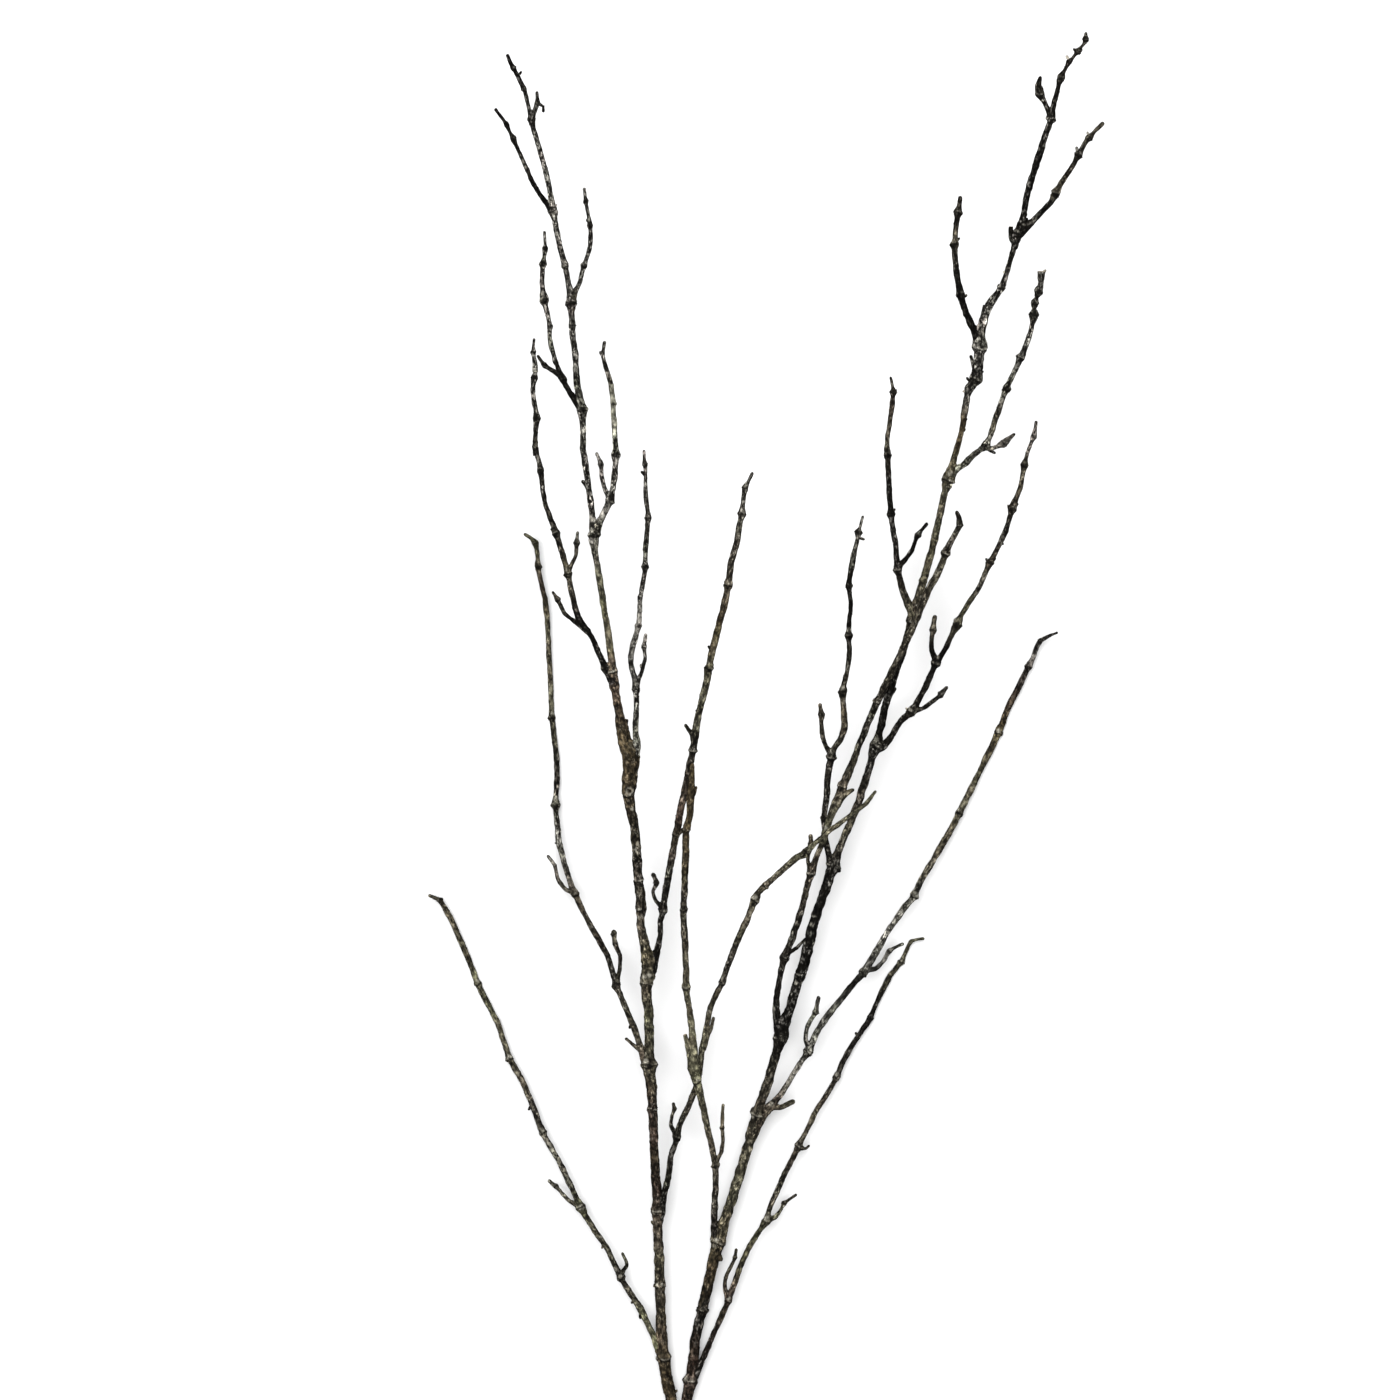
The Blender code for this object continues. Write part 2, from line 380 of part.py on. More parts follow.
RIGHT_BRANCH_6_SPURS = [
    [
        (936, 662, 54.4, 3.8), (932.5, 652, 55.6, 3.4), (931.5, 642, 56.6, 3.2),
        (933, 630, 58, 5.4, KNOT), (935, 615, 60, 3.0),
    ],
    [
        (912, 711.5, 49, 3.8), (922, 709, 48.6, 3.0), (931, 703, 48, 2.8),
        (940.5, 695, 47.2, 5.6, KNOT), (948, 686.5, 46.4, 2.4),
    ],
]

RIGHT_BRANCH_7 = [
    (913, 615, 55, 6.0), (908, 604, 55.8, 5.8), (903.5, 592, 56.4, 5.2), (897.5, 570, 57.6, 6.6, KNOT),
    (895.5, 545, 59.8, 4.2), (891, 514, 62.8, 6.6, KNOT), (889, 485, 65.8, 4.4),
    (887.5, 455.5, 68.6, 6.6, KNOT), (887.5, 440, 70.2, 4.0), (892, 405, 73.8, 3.8),
    (893, 392, 75.2, 6.4, KNOT), (890.5, 377, 76.8, 2.4),
]
RIGHT_BRANCH_7_SPURS = [
    [
        (898, 569, 57.6, 3.8), (906, 559, 58.4, 3.2), (912, 550.5, 59.2, 3.0),
        (917.5, 535.5, 60.6, 5.2, KNOT), (927.5, 523, 62, 2.0),
    ],
]

RIGHT_BRANCH_8 = [
    (948, 482, 67, 6.4), (954, 471, 67.6, 5.2), (962, 466, 68.4, 4.4), (967, 462, 69, 5.8, KNOT),
    (973, 455, 70, 4.6), (985, 446, 72, 6.4, KNOT), (989.5, 438, 73.2, 3.8), (996, 417, 76.4, 4.8),
    (1003, 398, 79.4, 3.8), (1006, 389, 80.8, 7.6, KNOT), (1016, 368, 84.2, 4.2),
    (1020.5, 358.5, 85.6, 6.8, KNOT), (1026, 346, 87.4, 4.2), (1030.5, 333, 89.4, 3.8),
    (1034, 314, 92.2, 6.6, KNOT), (1038, 291, 95.8, 5.8, KNOT), (1041, 278, 97.6, 4.6),
    (1042, 271.5, 98.4, 4.4),
]
RIGHT_BRANCH_8_SPURS = [
    [
        (985, 447, 72, 3.8), (991, 448.5, 72.2, 3.2), (997, 446.5, 72.6, 2.8),
        (1003, 444, 73, 4.8, KNOT), (1015, 433.5, 74, 2.0),
    ],
]

RIGHT_BRANCH_9 = [
    (981, 345, 83.6, 5.6), (975.5, 334, 84.4, 5.2), (966, 313, 86.4, 4.6),
    (960.5, 295, 88.2, 6.8, KNOT), (956, 270, 91, 4.4), (954.5, 245, 93.8, 6.6, KNOT),
    (955.5, 231, 95.2, 3.8), (958, 213, 97, 6.4, KNOT), (960.5, 195.5, 98.8, 3.0),
]

RIGHT_BRANCH_10 = [
    (1017.5, 236, 102.2, 6.0), (1026, 228, 103, 5.6), (1034, 220, 103.6, 4.8), (1050, 203, 105, 4.2),
    (1056, 194, 105.8, 7.2, KNOT), (1061, 184, 106.8, 4.0), (1073, 165, 108.4, 3.8),
    (1078, 155, 109.4, 6.6, KNOT), (1089.5, 137.5, 111, 6.4, KNOT), (1104, 122, 112.6, 3.0),
]

# Name of each branch with its route, its spurs and its bark. The low ones come first.
LEFT_BRANCHES = [
    ("left_branch_1", LEFT_BRANCH_1, LEFT_BRANCH_1_SPURS, BROWN_BARK),
    ("left_branch_2", LEFT_BRANCH_2, LEFT_BRANCH_2_SPURS, OLIVE_BARK),
    ("left_branch_3", LEFT_BRANCH_3, LEFT_BRANCH_3_SPURS, GREY_BARK),
    ("left_branch_4", LEFT_BRANCH_4, LEFT_BRANCH_4_SPURS, BROWN_BARK),
    ("left_branch_5", LEFT_BRANCH_5, LEFT_BRANCH_5_SPURS, BROWN_BARK),
    ("left_branch_6", LEFT_BRANCH_6, LEFT_BRANCH_6_SPURS, BLACK_BARK),
    ("left_branch_7", LEFT_BRANCH_7, LEFT_BRANCH_7_SPURS, BROWN_BARK),
    ("left_branch_8", LEFT_BRANCH_8, LEFT_BRANCH_8_SPURS, BLACK_BARK),
    ("left_branch_9", LEFT_BRANCH_9, [], BROWN_BARK),
    ("left_branch_10", LEFT_BRANCH_10, [], BLACK_BARK),
]
RIGHT_BRANCHES = [
    ("right_branch_1", RIGHT_BRANCH_1, RIGHT_BRANCH_1_SPURS, BROWN_BARK),
    ("right_branch_2", RIGHT_BRANCH_2, RIGHT_BRANCH_2_SPURS, OLIVE_BARK),
    ("right_branch_3", RIGHT_BRANCH_3, RIGHT_BRANCH_3_SPURS, OLIVE_BARK),
    ("right_branch_4", RIGHT_BRANCH_4, RIGHT_BRANCH_4_SPURS, BROWN_BARK),
    ("right_branch_5", RIGHT_BRANCH_5, RIGHT_BRANCH_5_SPURS, BLACK_BARK),
    ("right_branch_6", RIGHT_BRANCH_6, RIGHT_BRANCH_6_SPURS, BLACK_BARK),
    ("right_branch_7", RIGHT_BRANCH_7, RIGHT_BRANCH_7_SPURS, BLACK_BARK),
    ("right_branch_8", RIGHT_BRANCH_8, RIGHT_BRANCH_8_SPURS, GREY_BARK),
    ("right_branch_9", RIGHT_BRANCH_9, [], BLACK_BARK),
    ("right_branch_10", RIGHT_BRANCH_10, [], BLACK_BARK),
]

UP = Vector((0, 0, 1))


def clear_scene():
    for thing in list(bpy.data.objects):
        bpy.data.objects.remove(thing, do_unlink=True)


def bark(name, colour):
    """A dull bark in one colour."""
    material = bpy.data.materials.new(name)
    material.use_nodes = True
    shader = material.node_tree.nodes["Principled BSDF"]
    shader.inputs["Base Color"].default_value = (*colour, 1)
    shader.inputs["Roughness"].default_value = 0.75
    shader.inputs["Metallic"].default_value = 0
    return material


def wander(x, y, height):
    """How far a point of the twig strays from its stated height, the same for all that meets there."""
    most = min(WANDER_SHARE * height, WANDER_MOST)
    return most * (sin(71 * x + 23 * y) + sin(37 * y - 53 * x + 1)) / 2


def place(pixel_x, pixel_y, height_mm):
    """Where a point of the photograph lies at this height, as seen from the eye."""
    height = height_mm * MM
    nearness = 1 - height / EYE_HEIGHT
    pixel = VIEW_WIDTH / VIEW_PIXELS * nearness
    x = (pixel_x - VIEW_CENTRE) * pixel - MIDDLE_X
    y = (VIEW_CENTRE - pixel_y) * pixel - MIDDLE_Y
    return Vector((x, y, height + wander(x, y, height)))


def stations(route):
    """A route as (point, thickness, is a knot), in metres."""
    return [(place(*row[:3]), row[3] * MM, len(row) > 4) for row in route]


def between(start, end, distance):
    """A plain station this far from start on the way to end."""
    share = distance / (end[0] - start[0]).length
    thickness = start[1] + (end[1] - start[1]) * share
    return (start[0].lerp(end[0], share), thickness, False)


def plain_thickness(route, index, step):
    """The thickness of the nearest plain station that way, or half a knot's where there is none."""
    place_in_route = index + step
    while 0 <= place_in_route < len(route):
        if not route[place_in_route][2]:
            return route[place_in_route][1]
        place_in_route += step
    return route[index][1] * 0.6


def with_necks(route):
    """Adds a plain station on each side of a knot, so that the knot swells and ends sharply."""
    found = []
    for index, station in enumerate(route):
        point, thickness, is_knot = station
        for step, reach in ((-1, SWELL_BELOW), (1, SWELL_ABOVE)):
            if step == 1:
                found.append(station)
            beside = index + step
            if not is_knot or not 0 <= beside < len(route):
                continue
            plain = plain_thickness(route, index, step)
            distance = thickness * reach + SWELL_EXTRA
            room = (route[beside][0] - point).length
            room_needed = ROOM_TO_KNOT if route[beside][2] else ROOM_TO_PLAIN
            if thickness - plain > MILD_SWELLING and room > room_needed * distance:
                neck = between(station, route[beside], distance)
                found.append((neck[0], min(plain, thickness * NECK_MOST), False))
    return found


def without_straight_stations(route):
    """Leaves out plain stations that the line between their neighbours passes through."""
    kept = [route[0]]
    for index in range(1, len(route) - 1):
        point, thickness, is_knot = route[index]
        before = kept[-1]
        after = route[index + 1]
        line = after[0] - before[0]
        along = (point - before[0]).dot(line) / line.length_squared
        aside = (before[0] + line * along - point).length
        unlike = abs(before[1] + (after[1] - before[1]) * along - thickness)
        if is_knot or aside > STRAIGHT_WITHIN or unlike > ALIKE_WITHIN:
            kept.append(route[index])
    kept.append(route[-1])
    return kept


def directions(route, onward):
    """The twig's direction at each station. It goes on to the point onward, if there is one."""
    points = [station[0] for station in route]
    found = []
    for index in range(len(points)):
        before = points[max(index - 1, 0)]
        after = points[min(index + 1, len(points) - 1)]
        found.append((after - before).normalized())
    if onward:
        found[-1] = (onward - points[-1]).normalized()
    return found


def add_ring(mesh, centre, along, radius, sides, flatness):
    """A ring of points around a station, with a flat side underneath."""
    across = along.cross(UP).normalized()
    upward = across.cross(along).normalized()
    turn = 0.5 if sides == LIMB_SIDES else 0
    ring = []
    for corner in range(sides):
        angle = 2 * pi * (corner + turn) / sides
        reach = radius * (flatness + (1 - flatness) * cos(angle) ** 2)
        offset = across * cos(angle) * reach + upward * sin(angle) * reach
        ring.append(mesh.verts.new(centre + offset))
    return ring


def tube_mesh(name, routes, sides, swollen=0, start_gap=0, onward=None):
    """One closed tube along each route, in one mesh. It is thicker all round by swollen.

    It ends in a point, or in a flat end where another piece goes onward.
    """
    mesh = bmesh.new()
    # A ring's corners lie a little outside its mean circle.
    corner_reach = 1 + 0.5 * (1 - cos(pi / sides))
    for pixels in routes:
        route = without_straight_stations(with_necks(stations(pixels)))
        headings = directions(route, onward)
        rings = []
        for index, (point, thickness, is_knot) in enumerate(route):
            centre = point + headings[0] * start_gap if index == 0 else point
            if index == len(route) - 1 and not onward:
                centre = point - headings[index] * thickness * POINT_LENGTH
            radius = thickness / 2 * corner_reach + swollen
            flatness = KNOT_FLATNESS if is_knot else 1
            rings.append(add_ring(mesh, centre, headings[index], radius, sides, flatness))
        for lower, upper in zip(rings, rings[1:]):
            for corner in range(sides):
                beside = (corner + 1) % sides
                mesh.faces.new((lower[corner], lower[beside], upper[beside], upper[corner]))
        mesh.faces.new(rings[0][::-1])
        if onward:
            mesh.faces.new(rings[-1])
        else:
            tip = mesh.verts.new(route[-1][0] + headings[-1] * swollen)
            for corner in range(sides):
                mesh.faces.new((rings[-1][corner], rings[-1][(corner + 1) % sides], tip))
    bmesh.ops.recalc_face_normals(mesh, faces=mesh.faces)
    data = bpy.data.meshes.new(name)
    mesh.to_mesh(data)
    mesh.free()
    return data


def add_object(name, data):
    thing = bpy.data.objects.new(name, data)
    bpy.context.scene.collection.objects.link(thing)
    return thing


def add_cutter(name, data):
    """A helper shape that isn't part of the twig."""
    thing = add_object(name, data)
    thing.hide_render = True
    thing.display_type = "WIRE"
    return thing


def combine(thing, helper, operation):
    """Joins the helper to the thing, or cuts it off."""
    modifier = thing.modifiers.new(helper.name, "BOOLEAN")
    modifier.operation = operation
    modifier.solver = "EXACT"
    modifier.object = helper


def ground_block():
    """All that would lie under the surface."""
    mesh = bmesh.new()
    bmesh.ops.create_cube(mesh, size=1)
    bmesh.ops.scale(mesh, vec=(VIEW_WIDTH, 2 * VIEW_WIDTH, GROUND_DEPTH), verts=mesh.verts)
    bmesh.ops.translate(mesh, vec=(0, 0, -GROUND_DEPTH / 2), verts=mesh.verts)
    data = bpy.data.meshes.new("ground")
    mesh.to_mesh(data)
    mesh.free()
    return add_cutter("ground", data)


def touches_ground(thing):
    return min(vertex.co.z for vertex in thing.data.vertices) < 0


def finish(thing, colour, ground):
    """Flattens what touches the surface, and gives the piece its bark."""
    if touches_ground(thing):
        combine(thing, ground, "DIFFERENCE")
    thing.data.materials.append(bark(thing.name + "_bark", colour))
    thing.data.shade_smooth()
    thing.data.set_sharp_from_angle(angle=pi / 5)


def add_spurs(thing, spurs):
    """Fuses the short spurs to the branch that they grow from."""
    if spurs:
        helper = add_cutter(thing.name + "_spurs", tube_mesh(thing.name + "_spurs", spurs, SPUR_SIDES))
        combine(thing, helper, "UNION")


def add_stem(ground):
    """The cut stem, up to just past its fork."""
    left_onward = place(*LEFT_LIMB[1][:3])
    right_onward = place(*RIGHT_LIMB[1][:3])
    thing = add_object("stem", tube_mesh("stem", [STEM_TRUNK], LIMB_SIDES, onward=left_onward))
    arm = add_cutter("stem_arm", tube_mesh("stem_arm", [STEM_ARM], LIMB_SIDES, onward=right_onward))
    combine(thing, arm, "UNION")
    finish(thing, BROWN_BARK, ground)


def add_limb(name, route, spurs, colour, ground):
    """A main limb. Also returns its shape with a gap all round, for its branches to be cut to."""
    thing = add_object(name, tube_mesh(name, [route], LIMB_SIDES, start_gap=JOINT_GAP))
    add_spurs(thing, spurs)
    finish(thing, colour, ground)
    seat = name + "_seat"
    return add_cutter(seat, tube_mesh(seat, [route], LIMB_SIDES, swollen=JOINT_GAP))


def add_branch(name, route, spurs, colour, seat, ground):
    """A side branch with its spurs, cut to sit on its limb."""
    thing = add_object(name, tube_mesh(name, [route], BRANCH_SIDES))
    add_spurs(thing, spurs)
    combine(thing, seat, "DIFFERENCE")
    finish(thing, colour, ground)


def main():
    clear_scene()
    ground = ground_block()
    add_stem(ground)
    left_seat = add_limb("left_limb", LEFT_LIMB, LEFT_LIMB_SPURS, BROWN_BARK, ground)
    right_seat = add_limb("right_limb", RIGHT_LIMB, RIGHT_LIMB_SPURS, BLACK_BARK, ground)
    for name, route, spurs, colour in LEFT_BRANCHES:
        add_branch(name, route, spurs, colour, left_seat, ground)
    for name, route, spurs, colour in RIGHT_BRANCHES:
        add_branch(name, route, spurs, colour, right_seat, ground)


main()
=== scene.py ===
"""The looks of a long forked bare twig that lies on a pale surface.

Each CAD node is replaced by a finer mesh along the same route, with its bark's relief, ring
scars, buds and stubs in the mesh. The routes, tones, bumps and marks are read off the photograph.
"""

from math import cos, pi, sin

import bpy
import numpy as np
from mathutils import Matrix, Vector


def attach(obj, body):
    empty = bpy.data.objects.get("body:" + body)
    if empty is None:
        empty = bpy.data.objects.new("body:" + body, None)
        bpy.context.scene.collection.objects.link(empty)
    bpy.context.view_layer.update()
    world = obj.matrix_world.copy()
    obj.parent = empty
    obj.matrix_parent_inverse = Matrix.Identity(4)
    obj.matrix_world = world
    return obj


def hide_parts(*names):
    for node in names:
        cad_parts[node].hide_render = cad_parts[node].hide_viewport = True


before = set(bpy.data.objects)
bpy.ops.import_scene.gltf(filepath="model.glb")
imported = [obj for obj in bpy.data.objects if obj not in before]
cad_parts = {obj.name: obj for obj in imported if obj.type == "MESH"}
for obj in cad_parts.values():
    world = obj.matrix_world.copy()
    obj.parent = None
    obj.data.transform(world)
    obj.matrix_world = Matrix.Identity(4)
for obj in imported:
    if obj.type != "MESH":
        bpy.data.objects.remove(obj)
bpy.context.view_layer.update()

MM = 0.001

# Real width of the surface that the photograph spans, and how far above it the eye is.
VIEW_WIDTH = 1.12
EYE_HEIGHT = 3.11
VIEW_PIXELS = 1400
VIEW_CENTRE = 700

# From the middle of the photograph to the middle of the twig.
MIDDLE_X = 0.0472
MIDDLE_Y = -0.0734

# The height wanders by this share of itself, and by no more than this in all, in waves with
# these radians per metre to the right and up and this start.
WANDER_SHARE = 0.05
WANDER_MOST = 0.0022
WANDER_WAVES = ((71, 23, 0), (-53, 37, 1))

# The studio, in metres and watts.
SENSOR_WIDTH = 36
SURFACE_SIZE = 12
SURFACE_TOP = -0.0001
SURFACE_COLOUR = (0.6, 0.6, 0.6, 1)
SURFACE_ROUGHNESS = 0.9
SURFACE_GLOSS = 0.1
WHITE = (1, 1, 1, 1)
WORLD_LIGHT = 0.25
SOFTBOX_SIZE = 5
SOFTBOX_POWER = 700
SOFTBOX_PLACE = (-0.6, 0.8, 5)

KNOT = True

# Routes from base to tip, each row: pixels right, pixels down, height above the surface in mm and
# thickness in mm, with KNOT where the twig swells.
STEM = {
    "left": [
        (680, 1523, 5.3, 12.4), (679, 1500, 5.3, 12.2), (678, 1478, 5.6, 13.2, KNOT),
        (677, 1456, 6.6, 12.8), (674.5, 1430, 7.8, 10.6), (671.5, 1403, 9, 9.0),
    ],
    "right": [
        (679, 1470, 6.0, 9.0), (681, 1446, 7.0, 10.2), (684, 1424, 8.0, 9.6), (686.5, 1403, 9, 9.2),
    ],
}

ROUTES = {
    "left_limb": [
        (671.5, 1403, 9, 9.0), (667, 1380, 10.5, 9.2), (664, 1358, 12, 11.2, KNOT),
        (661, 1325, 15, 8.2), (660, 1286, 18, 8.8, KNOT), (659, 1255, 20.5, 7.4),
        (657, 1212, 24, 9.8, KNOT), (656, 1175, 27.5, 6.8), (654, 1145, 30.5, 6.4),
        (653, 1109, 34, 8.2, KNOT), (651, 1085, 36, 7.8), (650, 1065, 38, 12.0, KNOT),
        (649, 1025, 42, 6.8), (647, 997, 45, 7.6), (646, 984, 46, 10.6, KNOT),
        (648, 964, 47.6, 10.0), (645, 946, 49, 7.4), (641, 925, 51, 6.2), (641, 909, 52, 9.2, KNOT),
        (640, 893, 53.5, 7.2), (638, 880, 55, 8.6, KNOT), (637, 862, 56.5, 7.2),
        (634, 825, 60, 6.6), (629, 795, 62.5, 9.2, KNOT), (630, 778, 64, 11.6),
        (630, 757, 65.5, 13.0), (625, 743, 67, 11.0), (622, 727, 68.5, 9.6), (619, 714, 69.6, 6.2),
        (613, 672, 73, 6.6, KNOT), (606, 620, 77, 4.8), (600, 580, 80, 4.8), (595, 550, 82, 5.0),
        (594, 536, 83, 7.8, KNOT), (591, 505, 84, 4.6), (588, 480, 85, 4.8), (583, 450, 86, 4.6),
        (583, 425, 86.8, 5.0), (582, 410, 87, 6.6, KNOT), (577, 380, 88, 4.8),
        (575, 352, 88.6, 4.6), (572, 325, 89.5, 5.8, KNOT), (571, 303, 90, 7.6, KNOT),
        (565, 266, 92, 5.6, KNOT), (560, 248, 93, 4.0), (553, 211, 96, 5.8, KNOT),
        (549, 185, 98, 3.8), (543, 160, 100, 3.8), (531, 119, 103, 5.0, KNOT),
        (524, 89, 106, 4.2, KNOT), (518, 77, 107, 2.8), (513, 68, 108, 4.0, KNOT),
        (507, 54, 110, 2.2),
    ],
    "left_branch_1": [
        (664, 1358, 12, 5.6), (656, 1342, 12.6, 4.8), (646, 1320, 13.2, 4.6),
        (640, 1308, 13.5, 5.6), (633, 1297, 13.8, 4.6), (621, 1278, 14, 5.8, KNOT),
        (608, 1250, 14, 4.4), (598, 1235, 13.8, 4.6), (586, 1217, 13.4, 4.6),
        (581, 1207, 13, 7.2, KNOT), (574, 1193, 12.6, 4.6), (557, 1157, 11.4, 4.6),
        (543, 1133, 10.5, 7.2, KNOT), (535, 1112, 9.6, 4.6), (520, 1077, 8.2, 5.0),
        (510, 1060, 7.4, 6.6, KNOT), (504, 1042, 6.4, 4.4), (497, 1022, 5.4, 4.4),
        (489, 1006, 4.2, 4.6), (478, 984, 2.4, 6.0, KNOT), (472, 968, 3.2, 4.4),
        (463, 946, 4.2, 4.6), (456, 930, 5, 4.8), (445, 908, 6.4, 4.2), (440, 901, 7, 4.6, KNOT),
        (428, 895, 8.2, 2.6),
    ],
    "left_branch_2": [
        (660, 1216, 23.8, 5.0), (662.5, 1202, 25.2, 5.6), (665, 1190, 26.4, 4.8),
        (668, 1177, 27.6, 4.6), (671, 1157, 29.6, 4.4), (677, 1137, 31.8, 6.2, KNOT),
        (681, 1122, 33.2, 4.4), (688, 1107, 34.6, 4.6), (694, 1092, 36, 4.6),
        (699, 1076, 37.4, 4.6), (702, 1050, 40, 4.8), (706, 1030, 42.4, 4.4), (710, 1009, 45, 4.6),
        (722, 983, 48.6, 6.6, KNOT), (728, 965, 50.8, 4.6), (736, 945, 53.2, 4.8),
        (748, 917, 56.4, 5.2), (754.5, 901, 58.2, 7.0, KNOT), (758, 893, 59.2, 5.0),
        (765, 886, 60.2, 5.4, KNOT), (788, 866, 62.6, 5.0), (797, 858, 63.6, 5.4),
        (806, 852.5, 64.4, 6.8, KNOT), (815, 843, 65.6, 3.8), (827, 833, 66.8, 3.8),
        (850, 816, 69, 3.6), (866, 803, 70.4, 3.4), (876.5, 791, 71.8, 2.2),
    ],
    "left_branch_3": [
        (647, 1066, 38, 5.6), (640.5, 1047, 36.6, 5.0), (632, 1023, 34.2, 4.8),
        (624, 1003, 32, 4.6), (616, 984, 30, 7.0, KNOT), (608, 957, 27.4, 4.4), (594, 931, 24, 4.6),
        (583, 911, 21.4, 4.6), (575, 895, 19.2, 6.6, KNOT), (567, 872, 16.6, 4.4),
        (559, 843, 13, 4.8), (557, 822, 10.6, 4.4), (556, 805, 8.6, 7.2, KNOT),
        (557, 780, 6.2, 4.4), (556, 750, 4.4, 4.4), (552, 718, 2.3, 5.8, KNOT),
        (551, 690, 3.0, 4.2), (549, 655, 4.6, 4.2), (547, 617, 6.8, 4.2), (543, 590, 8.6, 4.2),
        (538, 567, 10.2, 5.6, KNOT), (537, 553, 11.2, 3.8), (535, 542, 12, 4.4, KNOT),
        (524, 533, 13.6, 2.2),
    ],
    "left_branch_4": [
        (651.5, 970, 47.3, 6.4), (656.5, 953, 48.6, 5.2), (660, 935, 50.8, 3.8),
        (660, 922, 52.2, 4.0), (663, 911, 53.6, 6.2, KNOT), (665, 895, 55.4, 5.0),
        (676, 835, 62.4, 6.4, KNOT), (680, 815, 64.8, 5.4), (688, 775, 69.4, 5.4),
        (693, 751, 72, 7.0, KNOT), (696, 730, 74.8, 5.4), (699, 712, 77.2, 5.2),
        (705, 690, 80.2, 5.4), (709, 668, 83, 7.8, KNOT), (713, 648, 85.4, 5.2),
        (719, 625, 88.4, 5.2), (728, 586, 93, 7.4, KNOT), (731, 563, 95.6, 4.8),
        (737, 540, 98.2, 4.6), (742, 514, 101, 6.2, KNOT), (745.5, 488, 103.4, 4.8, KNOT),
        (753, 472, 105.4, 2.4),
    ],
    "left_branch_5": [
        (632, 760, 65.8, 6.0), (637, 747, 67, 6.4), (635.5, 735, 68.4, 4.6), (636, 715, 70.6, 4.4),
        (636, 690, 73.4, 6.6, KNOT), (634, 677, 74.8, 4.4), (631, 661, 76.6, 4.2),
        (633, 644, 78.6, 4.2), (638.5, 626, 80.8, 5.4, KNOT), (640.5, 597, 84.4, 4.4, KNOT),
        (645, 567, 88, 5.6, KNOT), (646, 545, 90.6, 3.8), (648, 518, 94, 5.8, KNOT),
        (646, 498, 96.4, 3.8), (645, 465, 100.4, 5.0, KNOT), (644, 450, 102.4, 2.2),
    ],
    "left_branch_6": [
        (612.5, 682, 73, 5.2), (605.5, 668, 72.8, 7.8, KNOT), (598, 652, 71.8, 4.6),
        (590, 634, 70.6, 4.4), (580, 621, 69.6, 4.6), (575, 607, 68.6, 4.6),
        (568, 575, 66.8, 6.4, KNOT), (563, 556, 65.8, 4.2), (556, 534, 64.6, 6.2, KNOT),
        (545, 502, 62.8, 4.0), (542, 485, 62, 4.0), (541, 471, 61.4, 5.6, KNOT),
        (535.5, 449, 60.4, 5.6, KNOT), (536, 432, 60, 4.0), (537, 419, 59.8, 5.6, KNOT),
        (533, 391, 59.8, 3.8), (534.5, 378, 60.2, 5.4, KNOT), (535, 365, 60.6, 3.6),
        (533, 352, 61.2, 4.8, KNOT), (534, 338, 62, 2.2),
    ],
    "left_branch_7": [
        (594, 538, 83, 5.2), (599, 525, 84.6, 4.6), (605, 511, 86.4, 4.4),
        (610, 501, 87.6, 5.8, KNOT), (613, 487, 89.2, 4.0), (615, 468, 91.6, 4.0),
        (616, 455, 93.2, 5.8, KNOT), (615, 438, 95.4, 3.8), (613, 404, 99.8, 4.6, KNOT),
        (611, 385, 102, 3.4), (603, 353, 106, 4.2, KNOT), (605, 341, 107.6, 2.0),
    ],
    "left_branch_8": [
        (582, 410, 87, 5.2), (575, 401, 86.2, 4.4), (563, 380, 84.6, 5.0, KNOT),
        (553, 353, 83, 3.8), (550, 338, 82.6, 3.6), (550, 326, 82.2, 4.6, KNOT),
        (544, 301, 81.8, 8.0, KNOT), (542, 284, 82, 4.0), (543, 264, 82.6, 6.2, KNOT),
        (545, 248, 83.2, 5.0, KNOT), (544, 231, 84, 2.2),
    ],
    "left_branch_9": [
        (571, 304, 90, 4.8), (580, 281, 93.2, 3.6), (584, 266, 95.4, 5.0, KNOT),
        (589, 250, 98, 3.4), (591, 237, 100.2, 3.4), (590, 226, 101.8, 4.4, KNOT),
        (586, 202, 105.4, 4.2, KNOT), (584, 188, 107.4, 2.2),
    ],
    "left_branch_10": [
        (553, 212, 96, 4.4), (544, 200, 94.6, 3.6), (536, 188, 93.2, 3.6),
        (527, 170, 91.2, 4.0, KNOT), (520, 153, 89.4, 3.2), (513, 138, 87.8, 5.0, KNOT),
        (506, 124, 86.2, 4.8, KNOT), (495, 108, 84.4, 2.2),
    ],
    "right_limb": [
        (686.5, 1403, 9, 9.2), (690, 1381, 10.5, 11.2, KNOT), (693, 1360, 11.6, 8.8),
        (695, 1340, 12.4, 8.2), (702.5, 1310, 13.2, 9.2, KNOT), (710, 1275, 14.3, 8.8),
        (718, 1243, 15.5, 12.4, KNOT), (721, 1229, 16.2, 10.6), (726, 1216, 16.8, 8.0),
        (737, 1184, 18.4, 9.0), (744, 1160, 19.5, 8.4), (753.5, 1128, 21.3, 8.4),
        (757, 1114, 22, 11.6, KNOT), (762.5, 1099, 23.1, 7.6), (768, 1082, 24.3, 8.0),
        (776, 1054, 26.5, 7.2), (780, 1040, 27.5, 10.4, KNOT), (784.5, 1023, 28.5, 9.8),
        (790, 1008, 29.2, 7.4), (797, 985, 30.5, 8.2), (800.5, 975, 31, 9.8, KNOT),
        (808.5, 945, 32.8, 9.2), (815.5, 917, 34.3, 8.6, KNOT), (823, 897, 35.4, 7.4),
        (829, 878, 36.4, 8.4), (833, 866, 37, 10.8, KNOT), (838, 852, 38, 6.2),
